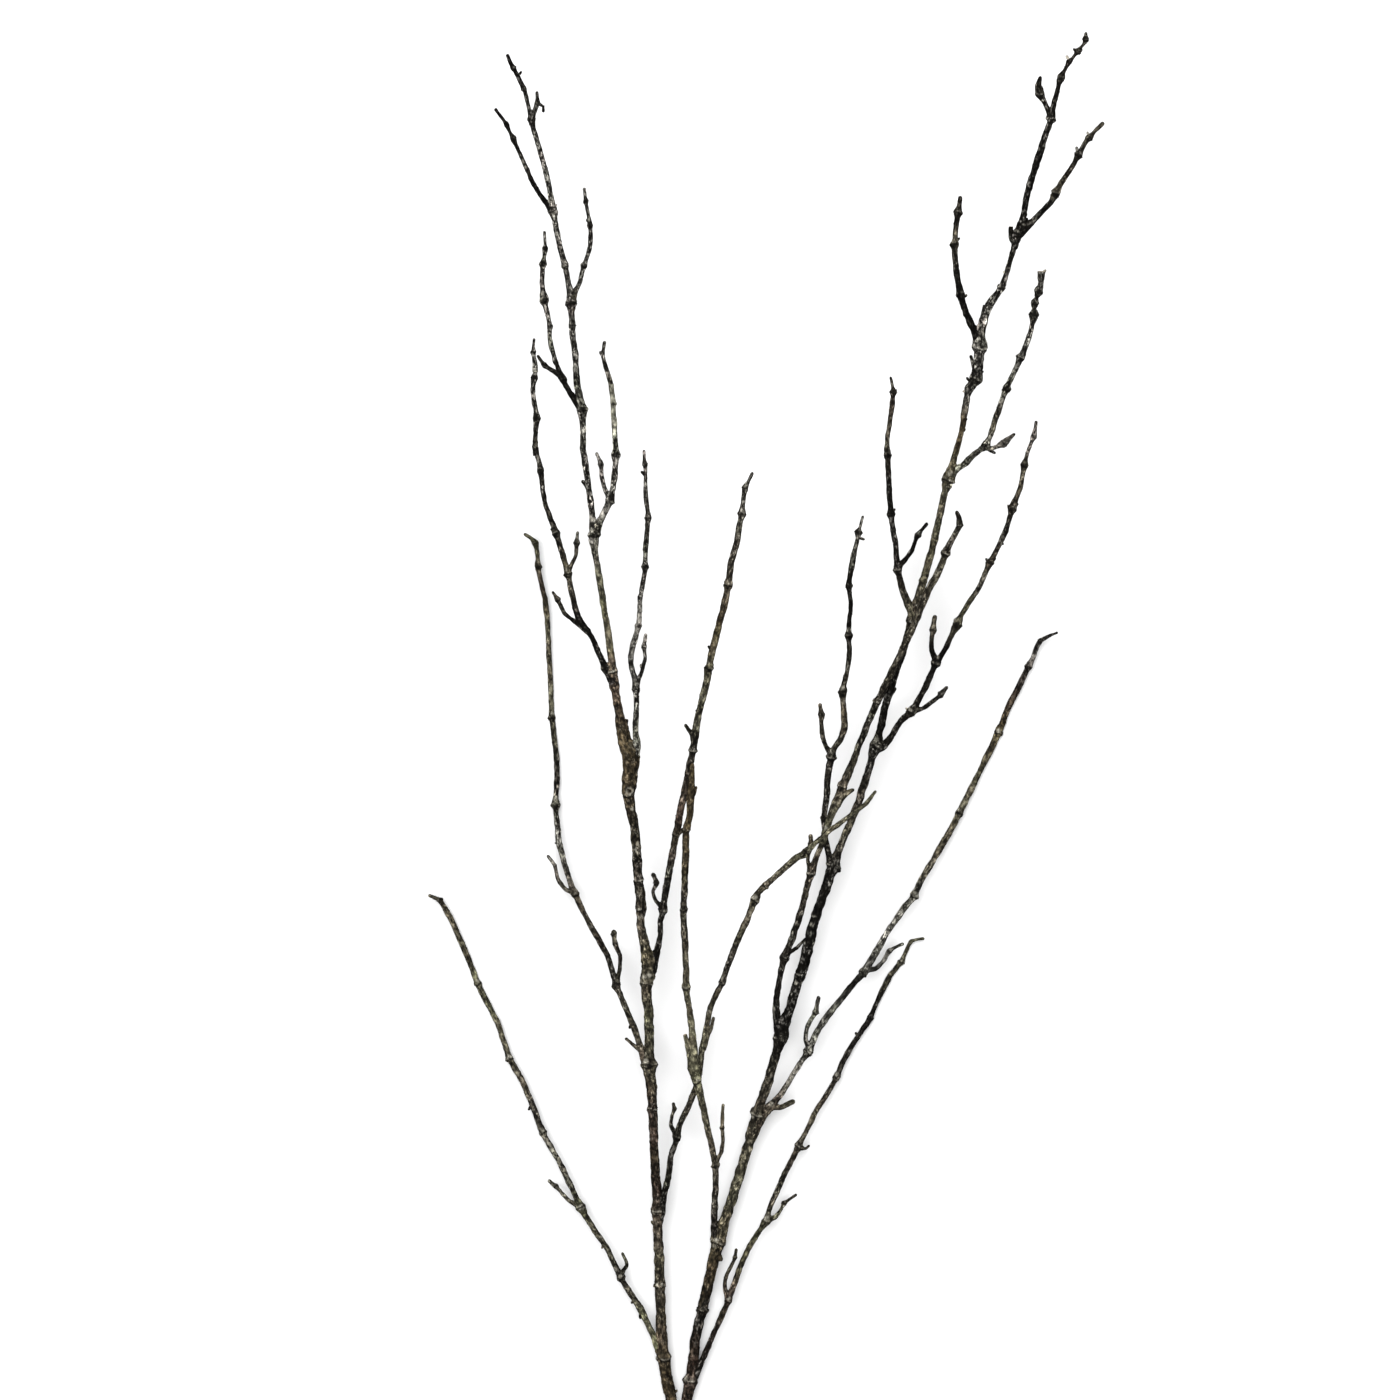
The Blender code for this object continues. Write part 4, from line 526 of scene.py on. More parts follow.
# Small buds, bumps and stubs: from x, y to x, y in pixels, thickness in mm there, and colour.
BUMPS = {
    "left_limb": (
        (517, 77, 521.5, 71, 1.9, 1.1, DARK), (538, 103, 543, 106.5, 2.4, 2.6, BLACK),
        (543, 105.5, 543.2, 112.5, 2.6, 1.2, BLACK), (552, 209, 557, 204.5, 3.2, 1.9, GREY),
        (574, 328, 570, 322, 3.8, 2.6, GREY_BROWN), (587, 489, 582, 480, 2.2, 3.3, BLACK),
        (622, 738, 625.8, 719, 7.0, 4.6, RED_BROWN, "cut"), (633, 757, 638, 750.5, 5.0, 3.4, BLACK),
        (655, 1226, 651, 1221, 3.2, 1.8, GREY_BROWN), (671, 1394, 677.5, 1390, 4.0, 2.2, BROWN),
    ),
    "left_branch_1": (
        (635, 1299, 631, 1303.5, 3.2, 2.2, DARK), (604, 1245, 601.5, 1248.5, 3.0, 2.0, GREY_BROWN),
        (532, 1106, 528, 1110, 3.2, 2.0, DARK), (518, 1077, 523.5, 1076, 3.0, 1.8, GREY_BROWN),
        (642, 1313.5, 640, 1319, 4.4, 3.6, BLACK),
    ),
    "left_branch_3": (
        (632, 1024, 629, 1028.5, 3.2, 2.0, DARK), (559, 842, 554.5, 843.5, 3.0, 1.8, DARK),
    ),
    "left_branch_4": (
        (680, 819, 675.8, 815, 3.0, 2.0, BLACK), (699, 712, 695.5, 710, 3.0, 1.9, BLACK),
        (712, 651, 707.8, 645.5, 2.0, 1.1, BLACK), (676.5, 835, 684.5, 828.5, 3.6, 3.6, GREY_BROWN),
    ),
    "left_branch_5": (
        (645, 475, 640.8, 471, 2.2, 1.4, BLACK), (643, 671, 640.5, 664, 2.2, 3.0, GREY),
    ),
    "left_branch_6": (
        (556, 534, 550.8, 528, 2.4, 1.4, BLACK), (536.5, 456, 536, 445, 5.4, 4.4, BLACK),
        (535, 372, 535, 363, 4.6, 3.6, PALE),
    ),
    "left_branch_7": ((603, 356, 599.8, 351, 2.4, 3.0, BUD_DARK),),
    "left_branch_9": ((590, 224, 586.6, 219, 2.2, 1.2, DARK),),
    "right_limb": (
        (1085, 42, 1088.6, 38.5, 3.0, 2.6, BLACK), (1078, 54, 1082.4, 48.5, 3.0, 2.0, BLACK),
        (1077, 53, 1073.4, 48, 2.6, 1.6, BLACK), (1070, 61, 1066.4, 55, 2.2, 1.6, PALE),
        (1018.5, 236, 1027.5, 218, 6.0, 2.6, BLACK), (1007, 274, 1003, 271.5, 2.6, 1.6, PALE),
        (984.4, 305, 979.6, 332, 2.6, 2.4, GREY), (974.6, 371, 970.2, 354.5, 3.2, 1.8, GREY),
        (978, 375.5, 983.6, 371, 2.4, 1.1, BLACK), (973, 386, 966.2, 377, 3.0, 1.4, DARK),
        (970, 391, 962.6, 390.8, 3.4, 1.2, PALE), (963, 421, 967.6, 418.5, 3.0, 2.0, BLACK),
        (962, 431, 966, 428.5, 3.0, 2.0, BLACK), (891, 694, 896, 687.5, 3.6, 2.2, BLACK),
        (751, 1141, 745.4, 1136, 3.8, 2.4, GREY_BROWN), (703, 1313, 709, 1309, 4.4, 2.6, DARK),
        (702, 1313, 696.2, 1309.5, 4.4, 2.6, DARK), (757, 1117, 751.8, 1111, 4.6, 2.8, OLIVE),
    ),
    "right_branch_1": (
        (858, 1037, 855, 1032, 2.6, 1.5, DARK), (754, 1241, 750, 1243.5, 3.0, 1.9, RED_BROWN),
    ),
    "right_branch_3": (
        (960, 815, 956.4, 810, 2.8, 1.6, PALE), (914, 897, 911, 891.5, 2.8, 1.6, PALE),
    ),
    "right_branch_5": (
        (858.5, 538, 864.8, 539.6, 1.3, 0.8, DARK), (825, 821, 822.6, 817, 2.8, 1.8, BLACK),
    ),
    "right_branch_6": (
        (1011, 511, 1007.6, 504.5, 2.4, 1.3, GREY), (1013, 511, 1018, 503, 2.6, 1.3, BLACK),
        (989, 563, 985.8, 558, 2.4, 1.3, GREY), (992, 562, 996, 557.5, 2.4, 1.3, BLACK),
        (909, 713, 906, 707.5, 2.8, 1.6, PALE), (1001, 542, 1004, 545, 1.8, 1.2, BLACK),
    ),
    "right_branch_7": ((891.5, 513, 895.2, 508.4, 2.4, 1.4, DARK),),
    "right_branch_8": (
        (1041, 276, 1046.2, 269.5, 2.4, 1.0, PALE), (1000, 409, 996.4, 407, 3.0, 1.8, DARK),
        (988, 449, 995.6, 453.5, 3.0, 2.0, BLACK), (986, 446, 987.4, 440.5, 2.0, 1.4, PALE_OLIVE),
    ),
    "right_branch_9": (
        (955.5, 242, 959.8, 237.5, 2.6, 1.4, DARK), (962, 298, 967, 294.5, 2.6, 1.3, GREY),
    ),
    "right_branch_10": (
        (1078, 156, 1076.4, 146.5, 2.4, 1.2, GREY), (1089, 139, 1087.6, 131.5, 2.4, 1.2, PALE),
    ),
}

# Scars, pale patches and black patches on the bark: x, y in pixels, reach in mm and kind.
MARKS = {
    "left_limb": (
        (629.3, 791.5, 3.6, "scar"), (631, 803.5, 2.2, "black"), (632, 808.5, 2.0, "pale"),
        (643.5, 910, 3.2, "black"), (638, 917, 2.0, "pale"), (642, 916.5, 2.0, "pale"),
        (645.5, 916, 1.8, "pale"), (643, 977, 2.4, "pale"), (649, 976, 2.4, "pale"),
        (654, 1213, 1.6, "pale"), (645.5, 1061, 3.0, "pale"), (650, 1067, 3.0, "black"),
        (637.5, 751, 3.0, "black"), (657, 1284.5, 1.6, "pale"), (662, 1284.5, 1.6, "pale"),
        (594, 536, 3.4, "black"), (582.5, 410, 3.0, "black"), (572, 304, 3.0, "black"),
        (573, 296, 2.6, "pale"), (612, 680, 3.0, "black"), (553, 213, 2.0, "pale"),
        (604, 655, 2.4, "black"), (592, 518, 3.0, "pale"),
    ),
    "left_branch_1": (
        (581, 1207, 3.0, "pale"), (509.5, 1056, 2.4, "pale"), (511.5, 1064, 2.0, "black"),
        (542.5, 1130, 2.4, "pale"), (477, 981, 2.0, "pale"), (621.5, 1276, 2.4, "pale"),
    ),
    "left_branch_2": (
        (722, 978, 2.2, "pale"), (755, 897, 2.6, "pale"), (753, 905, 2.0, "black"),
        (804, 855, 2.0, "black"), (708, 1012, 2.0, "pale"),
    ),
    "left_branch_3": (
        (556, 799, 2.6, "pale"), (556, 807, 2.4, "black"), (552, 713, 1.8, "pale"),
        (552.5, 720, 2.6, "black"), (576.5, 891, 2.4, "pale"), (574, 900, 2.2, "black"),
        (615.5, 986, 2.2, "black"), (538, 568, 2.4, "black"),
    ),
    "left_branch_4": (
        (708, 663, 2.2, "pale"), (709, 671, 2.0, "black"), (728.5, 588, 2.0, "black"),
        (694, 753, 2.0, "black"), (742, 515, 2.4, "black"),
    ),
    "left_branch_5": (
        (636, 684, 2.2, "pale"), (636, 690, 1.8, "black"), (638.5, 626, 1.6, "black"),
        (645, 567, 2.0, "black"),
    ),
    "left_branch_6": (
        (567.5, 570, 2.4, "pale"), (567, 578, 2.6, "black"), (556, 535, 2.4, "black"),
        (541, 471, 2.4, "black"), (537, 419, 2.2, "black"), (534.5, 378, 2.2, "black"),
    ),
    "left_branch_7": ((610, 500, 2.0, "black"), (616, 455, 2.2, "black"), (613, 404, 2.0, "black")),
    "left_branch_8": (
        (544, 301, 3.2, "black"), (543, 264, 2.4, "black"), (545, 248, 2.0, "black"),
        (550, 326, 2.0, "black"),
    ),
    "left_branch_9": ((584, 266, 2.4, "black"), (590, 225, 2.2, "black"), (586, 202, 2.0, "black")),
    "right_limb": (
        (685.6, 1377.5, 2.8, "pale"), (718, 1240, 3.0, "pale"), (714, 1246, 2.4, "pale"),
        (717, 1250.5, 2.6, "black"), (752, 1116, 2.2, "pale"), (756, 1119, 2.4, "black"),
        (803, 968, 4.0, "black"), (796, 983, 2.0, "pale"), (802, 984, 2.0, "pale"),
        (815, 910, 3.2, "black"), (812, 924, 2.4, "pale"), (876, 739.5, 3.0, "pale"),
        (874, 749, 2.6, "black"), (917, 606, 1.6, "pale"), (921, 597, 1.6, "pale"),
        (912, 630, 1.6, "pale"), (908, 636, 3.0, "black"), (950, 473, 2.8, "pale"),
        (948, 484, 2.6, "black"), (971, 362, 2.0, "pale"), (977, 352, 2.2, "black"),
        (977, 371, 3.2, "black"), (983, 347, 2.2, "black"), (1011, 233, 2.2, "pale"),
        (1011, 228, 2.0, "pale"), (1002, 286, 2.4, "black"), (1024, 224, 2.0, "pale"),
    ),
    "right_branch_1": (
        (836.5, 1074, 2.4, "pale"), (766, 1218, 2.8, "pale"), (869, 1019, 2.0, "black"),
        (728, 1298, 2.0, "pale"),
    ),
    "right_branch_2": (
        (698, 1079, 2.6, "pale"), (696, 1086, 1.8, "black"), (715.5, 1167, 2.0, "black"),
        (686, 832, 2.0, "black"),
    ),
    "right_branch_3": (
        (808, 1056, 2.0, "black"), (862, 977, 2.0, "black"), (861, 969, 2.2, "pale"),
        (914, 892, 2.2, "pale"), (959, 810, 2.0, "pale"), (998, 730, 2.0, "pale"),
        (1027, 668, 2.2, "black"), (772, 1104, 2.4, "pale"),
    ),
    "right_branch_4": (
        (842, 790, 2.4, "black"), (811, 876, 2.2, "black"), (945, 556, 2.4, "black"),
        (826, 828, 2.4, "pale"),
    ),
    "right_branch_5": (
        (848.5, 630, 2.4, "pale"), (842.5, 688, 2.4, "pale"), (831, 752, 2.6, "pale"),
        (848.5, 638, 2.0, "black"), (842.5, 696, 2.0, "black"), (849, 587, 2.4, "black"),
        (859, 533, 2.2, "black"),
    ),
    "right_branch_6": (
        (910, 709, 2.0, "pale"), (956.5, 626, 3.2, "black"), (936, 665, 3.0, "black"),
        (990.5, 563, 2.2, "black"), (1012, 510, 2.2, "black"), (1024.5, 466, 2.2, "black"),
        (955, 619, 1.8, "pale"), (938, 657, 1.8, "pale"),
    ),
    "right_branch_7": (
        (891, 514, 2.6, "black"), (887.5, 456, 2.4, "black"), (893, 392, 2.4, "black"),
        (897, 572, 2.2, "black"),
    ),
    "right_branch_8": (
        (1006, 389, 2.6, "black"), (1020.5, 361, 2.4, "black"), (1019, 355, 1.6, "pale"),
        (985, 447, 2.4, "black"), (1034, 314, 2.4, "black"), (1038.6, 292, 2.0, "black"),
        (990, 437, 1.8, "pale"),
    ),
    "right_branch_9": (
        (959.5, 297, 2.8, "black"), (954, 246, 2.8, "black"), (958, 214, 2.4, "black"),
    ),
    "right_branch_10": (
        (1056, 195, 2.8, "black"), (1078, 156, 2.6, "black"), (1089, 139, 2.4, "black"),
    ),
}

# Spurs and branches that end in a broken or cut face: piece and place in its list of spurs from 1,
# or 0 for the branch itself.
FLAT_ENDS = {("right_limb", 2), ("right_branch_8", 0), ("right_branch_2", 1)}

# Where the stem forks, the seeds of the two sides' relief, and what is added to them for each
# branch, and for the first spur and bump of a piece.
FORK = (679.5, 1450, 7)
SIDE_SEEDS = {"left": 11, "right": 47}
BRANCHES_PER_SIDE = 10
BRANCH_SEED, SPUR_SEED, BUMP_SEED = 100, 20, 70

# How many sides the tubes have.
LIMB_SIDES, BRANCH_SIDES, SPUR_SIDES, BUMP_SIDES = 36, 20, 14, 10
# Rings stand this far apart, and closer at the knots.
RING_STEP = 0.0007
KNOT_STEP = 0.0004
KNOT_REACH = 0.004
# How far from the place where two tubes meet their corner is rounded, and how wide. They swell by
# this share of that width, and the swelling fades this much sooner inside the other tube.
JOIN_REACH = 0.016
LIMB_BLEND = 0.0055
SPUR_BLEND = 0.003
BLEND_RISE = 0.25
FADE_INSIDE = 3
# A branch has its hidden root this many radii back along its parent, and this thick beside it.
ROOT_DEPTH = 1.6
ROOT_SHARE = 0.72
# Below 1, a route turns more sharply at its stations and runs straighter between them.
SLACK = 0.65
# How much fuller each piece shows than its route says, in mm of radius, and how much fuller a
# spur does.
FULLER = {
    "left_limb": 0.15, "left_branch_4": 0.12, "left_branch_7": 0.3, "right_limb": -0.2,
    "right_branch_1": -0.15, "right_branch_2": 0.15, "right_branch_4": -0.1,
    "right_branch_6": -0.12, "right_branch_9": 0.25,
}
SPUR_FULLER = 0.25
# No tube is thinner than this radius. A tip is round over this many radii, down to this share,
# and its point stands out this far.
LEAST_RADIUS = 0.0011
TIP_REACH = 1.5
TIP_LEAST = 0.1
TIP_RISE = 0.00025

# A pair that goes to changed() is a value and how much it changes with another number.

# A knot swells the twig by at least this all round, and its buds sit left and right from the
# second on.
LEAST_KNOT = 0.0003
WIDE_KNOT = 0.0007
# A knot swells the twig over no more than this share of the way to the next knot.
KNOT_ROOM = 0.5
# How far the swelling reaches below and above: shares of the knot's thickness and lengths.
BELOW_SHARE, BELOW_SPREAD, BELOW_MORE = (0.15, 0.4), 0.6, 0.8 * MM
ABOVE_SHARE, ABOVE_MORE = (0.55, 0.6), 0.9 * MM
PEAKED, SMOOTH = 0.35, 0.65
# A knot is lower on top than at its sides, and its buds' sides differ.
WIDE_KNOT_TOP, WIDE_KNOT_SIDES, KNOT_LEAN = 0.62, 0.38, 0.8
SMALL_KNOT_TOP, SMALL_KNOT_SIDES = 0.9, 0.1
UNEVEN = (0.85, 0.3)
# Only a knot thinner than this still has its buds.
BUDDED_MOST = 0.0084
# Knots darken where the twig is thinner than this, fully when thinner by this span.
THICK_KNOT = 0.0054
THIN_SPAN = 0.0016
THIN_KNOT_SHADE = 0.5
# The groove and the collar of a knot run aslant and ragged: place and width along the twig.
SLANT, SLANT_TURN, RAGGED = (0.12, 0.08), 1.3, 0.9 * MM
GROOVE, GROOVE_MM = (-0.5 * MM, 0.45 * MM), (0.24, -0.1)
# Painted shade in the groove: its place and width, its strength by thinness and by how whole the
# ring is.
GROOVE_SHADOW, GROOVE_PAINTED_SHADE, GROOVE_WHOLE = (-0.5 * MM, 0.6 * MM), (2.6, -1.4), (0.5, 0.5)
COLLAR, COLLAR_LIGHT = (1.5 * MM, 1.0 * MM), (0.7, -0.4)
# The ring scars round a knot are this far apart, stand out this much, and get painted highlight on
# their crests and painted shade between them.
RIDGE_GAP = 0.0015
RIDGE_RISE = 0.00012
RIDGE_PAINTED_LIGHT, RIDGE_PAINTED_SHADE = 0.3, 0.4

# A scar's rim, with its width, and its hollow as shares of its reach, how far they stand out and
# in, and how pale and dark they are.
SCAR_RIM, SCAR_HOLLOW = (0.72, 0.2), 0.5
SCAR_RISE_MM, SCAR_DEPTH_MM, SCAR_LIGHT, SCAR_SHADE = 0.4, 0.6, 1.6, 1.2
# How far a patch stands out in mm, how pale it is and how dark.
PATCH_KINDS = {"pale": (0.12, 1.0, 0), "black": (-0.2, 0, 1.3)}

# Each kind of noise: its strength, its size and what it adds to the seed.
AREAS = (0.15, 10 * MM, 5)
SPECKLE = (0.2, 1.4 * MM, 11)
LONG_BLOTS = (0.8, 1.7 * MM, 6)
ROUND_BLOTS = (1, 1.3 * MM, 12)
PATCHES = (1.5, 5 * MM, 13)
OLIVE_AREAS = (1, 16 * MM, 7)
RED_AREAS = (1, 13 * MM, 8)
PALE_EDGES = (0.9, 1.7 * MM, 9)
DARK_EDGES = (0.5, 3 * MM, 10)
WHOLE = (1.2, 2.2 * MM, 40)
WOBBLE = (0.00034, 0.009, 30)
LUMPS, SMALL_LUMPS = (1, 6 * MM, 0), (1, 2.8 * MM, 1)
RIDGES, FURROWS, WARTS = (1, 1.6 * MM, 2), (4, 2.4 * MM, 3), (3, 1.9 * MM, 4)

# The relief's height: a length and a share of the twig's radius, or that share alone.
LUMP_HEIGHT, LUMP_RISE = (0.12 * MM, 0.08), 0.06 * MM
SMALL_LUMP_HEIGHT = (0.08 * MM, 0.06)
RIDGE_SHARE, FURROW_SHARE = 0.05, 0.07
WART_HEIGHT, WART_LEVEL = 0.22 * MM, 1.5
# Relief is stronger at the knots.
KNOTTY_RELIEF = 1.2
# How whole the ring scars are, on average and at most.
MEAN_WHOLE, MOST_WHOLE = 0.65, 1.5
# The bark's marks are stretched along the twig, and each tube has its own.
GRAIN_STRETCH = 0.45
GRAIN_SHIFT = 0.037

# The bark's light: pale and dark blots start at these levels of the blots' noise, this sharply.
PALE_BLOT_LEVEL, PALE_BLOT_EDGE, PALE_BLOT_SHARE = 0.15, 3, (0.4, 0.6)
DARK_BLOT_LEVEL, DARK_BLOT_EDGE, DARK_BLOT_SHADE = 0.12, 3.5, 0.92
BLOT_LIGHT, PATCH_LIGHT = (1.2, 0.8), (0.7, 0.5)
MEAN_PATCH, MOST_PATCH = 0.55, 1.5
# Painted shade: the bark's flanks and underside are darker by this share, with this power, the
# further they face from straight up.
PAINTED_FLANK_SHADE, FLANK_POWER = 0.4, 1.5
# Painted shade and highlight: the bark is darker or lighter by its own shade again where it is this
# much lower or higher.
PAINTED_RELIEF_SHADE = 0.0003
PAINTED_RELIEF_LIGHT_RANGE = (0.35, 1.8)
LEAST_LIGHT = 0.05
FLECK = (0.060, 0.0575, 0.052)
FLECK_SHARE, FLECK_POWER = 1.8, 3
OLIVE_TINT = (-0.04, 0.03, -0.16)
RED_TINT = (0.07, -0.04, -0.02)
MEAN_PALE, MOST_PALE = 0.65, 0.85
MEAN_DARK, MOST_DARK = 0.8, 0.93

# The share of the places for a bud at a knot that have one. Its form is by the knot's thickness.
BUD_SHARE = 0.35
BUD_LENGTH, BUD_MORE_LENGTH = (0.55, 0.35), 0.4 * MM
BUD_WIDTH, BUD_MORE_WIDTH = (0.66, -0.12), 0.3 * MM
BUD_SIZE, BUD_LEAN = (0.85, 0.3), (0.72, 0.24)
BUD_ROOT_OUT, BUD_ROOT_BACK, BUD_TIP_ON = 0.5, 0.35, 0.6
# A bud from its base to its tip: share of its length and share of its width.
BUD_PROFILE = (
    (0.0, 0.6), (0.15, 0.84), (0.32, 1.0), (0.5, 1.0), (0.67, 0.86), (0.82, 0.62), (0.93, 0.34),
)
BUD_SCALES, BUD_SCALE_RISE, BUD_SCALE_TURN, BUD_OWN_TURN = 3, 0.10, 9, 6
DARK_BUDS, DARK_BUD, PALE_BUD = 0.7, 0.9, 0.3
BUD_SCAR = 0.5

# Places of the two materials in a piece's mesh.
BARK, WOOD = 0, 1
# A cut face from its edge inwards: share of the edge's reach, how far it stands out and its colour.
CUT_RINGS = (
    (0.92, 0.0, GREY_BROWN), (0.88, 0.0002, CUT_WOOD), (0.6, 0.0002, CUT_WOOD),
    (0.3, 0.00015, CUT_WOOD), (0.16, 0.00005, PITH),
)

# Noise in the materials: scale, detail, roughness and distortion.
AREA_NOISE = (150, 3, 0.6)
PATCH_NOISE = (620, 6, 0.7, 0.2)
FLECK_NOISE = (700, 4, 0.65, 0.3)
SPECK_NOISE = (830, 5, 0.65, 0.3)
FINE_NOISE = (2600, 3, 0.7)
PORE_NOISE = (3200, 3, 0.7)
# Where the noise starts to show and where it shows fully. Flecks still show by this share outside
# their areas.
FLECKED_AREAS, FLECKED_LEAST = (0.42, 0.58), 0.25
PATCH_RAMP, FLECK_RAMP, SPECK_RAMP = (0.70, 0.79), (0.54, 0.60), (0.50, 0.63)
FINE_RAMP, PORE_RAMP = (0.2, 0.8), (0.25, 0.75)
# How much the areas count in the patches, and how much the fine noise darkens.
AREAS_IN_PATCHES = 0.5
FINE_SHADE = 0.5
PATCH_COLOUR = (0.0045, 0.004, 0.0032, 1)
SPECK_COLOUR = (0.0022, 0.0019, 0.0015, 1)
FLECK_GAIN = (2.6, 2.6, 2.6)
FLECK_ADDED = (0.024, 0.0222, 0.0188)
# What stands out in the bark's bump, and how strong and high the bumps are.
PATCH_BUMP, FINE_BUMP = -0.5, 0.6
BARK_BUMP = {"Strength": 0.6, "Distance": 0.0003}
WOOD_BUMP = {"Strength": 0.4, "Distance": 0.0002}
BARK_ROUGHNESS = (0.72, 0.9)
BARK_GLOSS = 0.02
WOOD_ROUGHNESS = 0.8

# Large odd numbers that scatter the noise's cells, by axis and for the seed, and stir them, and
# how many bits are kept of what comes out.
SCATTER = (73856093, 19349663, 83492791)
SEED_SCATTER = 2654435761
STIR = 1274126177
WORD, HALF_WORD = 0xFFFFFFFF, 0xFFFF
# Cells for the draws of a knot and of a bud.
KNOT_CELL = 3
BUD_CELL = 2
BUD_CELLS_PER_METRE = 1e5


def wander(x, y, height):
    """How far a point of the twig strays from its height, the same for all that meets there."""
    most = min(WANDER_SHARE * height, WANDER_MOST)
    return most * sum(sin(right * x + up * y + start) for right, up, start in WANDER_WAVES) / 2


def place(pixel_x, pixel_y, height_mm):
    """Where a point of the photograph lies at this height, as seen from the eye."""
    height = height_mm * MM
    nearness = 1 - height / EYE_HEIGHT
    pixel = VIEW_WIDTH / VIEW_PIXELS * nearness
    x = (pixel_x - VIEW_CENTRE) * pixel - MIDDLE_X
    y = (VIEW_CENTRE - pixel_y) * pixel - MIDDLE_Y
    return (x, y, height + wander(x, y, height))


def pixels(points):
    """Where points lie in the photograph, in pixels right and pixels down."""
    nearness = 1 - points[..., 2] / EYE_HEIGHT
    right = VIEW_CENTRE + (points[..., 0] + MIDDLE_X) / nearness * VIEW_PIXELS / VIEW_WIDTH
    down = VIEW_CENTRE - (points[..., 1] + MIDDLE_Y) / nearness * VIEW_PIXELS / VIEW_WIDTH
    return right, down


def changed(pair, amount):
    """The first number of a pair, changed by the second times this amount."""
    return pair[0] + pair[1] * amount


def cell_value(cells, seed):
    """A repeatable number from 0 to 1 for each cell."""
    mixed = seed * SEED_SCATTER
    for axis, scatter in enumerate(SCATTER):
        mixed = mixed ^ cells[:, axis] * scatter
    mixed = ((mixed ^ (mixed >> 13)) * STIR) & WORD
    return ((mixed ^ (mixed >> 16)) & HALF_WORD) / HALF_WORD


def noise(points, size, seed):
    """Smooth noise from -1 to 1 in lumps of about this size in metres."""
    scaled = points / size
    cell = np.floor(scaled).astype(np.int64)
    part = scaled - cell
    part = part * part * (3 - 2 * part)
    total = np.zeros(len(points))
    for corner in np.ndindex(2, 2, 2):
        share = np.prod(np.where(corner, part, 1 - part), axis=1)
        total += share * cell_value(cell + corner, seed)
    return 2 * total - 1


def pattern(kind, points, seed):
    """One kind of noise at these points."""
    strength, size, own_seed = kind
    return strength * noise(points, size, seed + own_seed)


def unit(vectors):
    return vectors / np.linalg.norm(vectors, axis=-1, keepdims=True)


def bell(distances, mark, width):
    return np.exp(-(((distances - mark) / width) ** 2))


def nearest_to(points, point):
    return np.linalg.norm(points - point, axis=1).argmin()


class Curve:
    """The smooth line through these points, by distance from its base."""

    def __init__(self, points):
        self.points = points
        steps = np.diff(self.points, axis=0)
        gaps = np.linalg.norm(steps, axis=1)
        self.marks = np.concatenate(([0], np.cumsum(gaps)))
        steps /= gaps[:, None]
        share = (gaps[:-1] / (gaps[:-1] + gaps[1:]))[:, None]
        turns = steps[:-1] * (1 - share) + steps[1:] * share
        self.slopes = np.vstack((steps[:1], turns, steps[-1:])) * SLACK

    def at(self, distances):
        """Points and headings at these distances."""
        low = np.searchsorted(self.marks, distances, side="right") - 1
        low = np.clip(low, 0, len(self.marks) - 2)
        gap = (self.marks[low + 1] - self.marks[low])[:, None]
        t = (distances - self.marks[low])[:, None] / gap
        start, end = self.points[low], self.points[low + 1]
        leave, arrive = self.slopes[low] * gap, self.slopes[low + 1] * gap
        where = (
            (2 * t**3 - 3 * t**2 + 1) * start + (t**3 - 2 * t**2 + t) * leave
            + (3 * t**2 - 2 * t**3) * end + (t**3 - t**2) * arrive
        )
        heading = (
            (6 * t**2 - 6 * t) * start + (3 * t**2 - 4 * t + 1) * leave
            + (6 * t - 6 * t**2) * end + (3 * t**2 - 2 * t) * arrive
        )
        return where, unit(heading)


class Shape:
    """A piece's mesh while it is made."""

    def __init__(self):
        self.points = []
        self.colours = []
        self.grain = []
        self.faces = []
        self.slots = []
        self.count = 0

    def add(self, points, colours, grain, faces, slot):
        self.points.append(points)
        self.colours.append(colours)
        self.grain.append(grain)
        self.faces += [tuple(self.count + corner for corner in face) for face in faces]
        self.slots += [slot] * len(faces)
        self.count += len(points)


def ring_places(length, knots):
    """Distances of the rings along a tube."""
    found = [0.0]
    while found[-1] < length:
        nearest = min((abs(found[-1] - knot) for knot in knots), default=1)
        found.append(found[-1] + (KNOT_STEP if nearest < KNOT_REACH else RING_STEP))
    found[-1] = length
    return np.array(found)


def sides_of_ring(heading):
    """The directions across a ring and up through it."""
    across = unit(np.cross(heading, (0, 0, 1)))
    return across, np.cross(across, heading)


def wood_beside_knots(marks, thickness, is_knot):
    """The twig's thickness at its stations without the swelling of its knots."""
    beside = np.interp(marks, marks[~is_knot], thickness[~is_knot])
    faint = is_knot & (thickness < beside + 2 * LEAST_KNOT)
    beside[faint] = thickness[faint] - 2 * LEAST_KNOT
    plain = ~is_knot | faint
    return np.interp(marks, marks[plain], beside[plain])


def knot_form(distances, mark, thickness, low, high, thin, room):
    """How a knot swells along the tube, from 0 to 1: slowly above, and with a step below."""
    away = distances - mark
    below = (changed(BELOW_SHARE, thin) + BELOW_SPREAD * low**2) * thickness + BELOW_MORE
    above = changed(ABOVE_SHARE, high) * thickness + ABOVE_MORE
    below, above = np.minimum((below, above), KNOT_ROOM * np.array(room))
    rise = np.clip(1 - np.abs(away) / np.where(away < 0, below, above), 0, 1)
    return PEAKED * rise**1.5 + SMOOTH * (3 * rise**2 - 2 * rise**3)


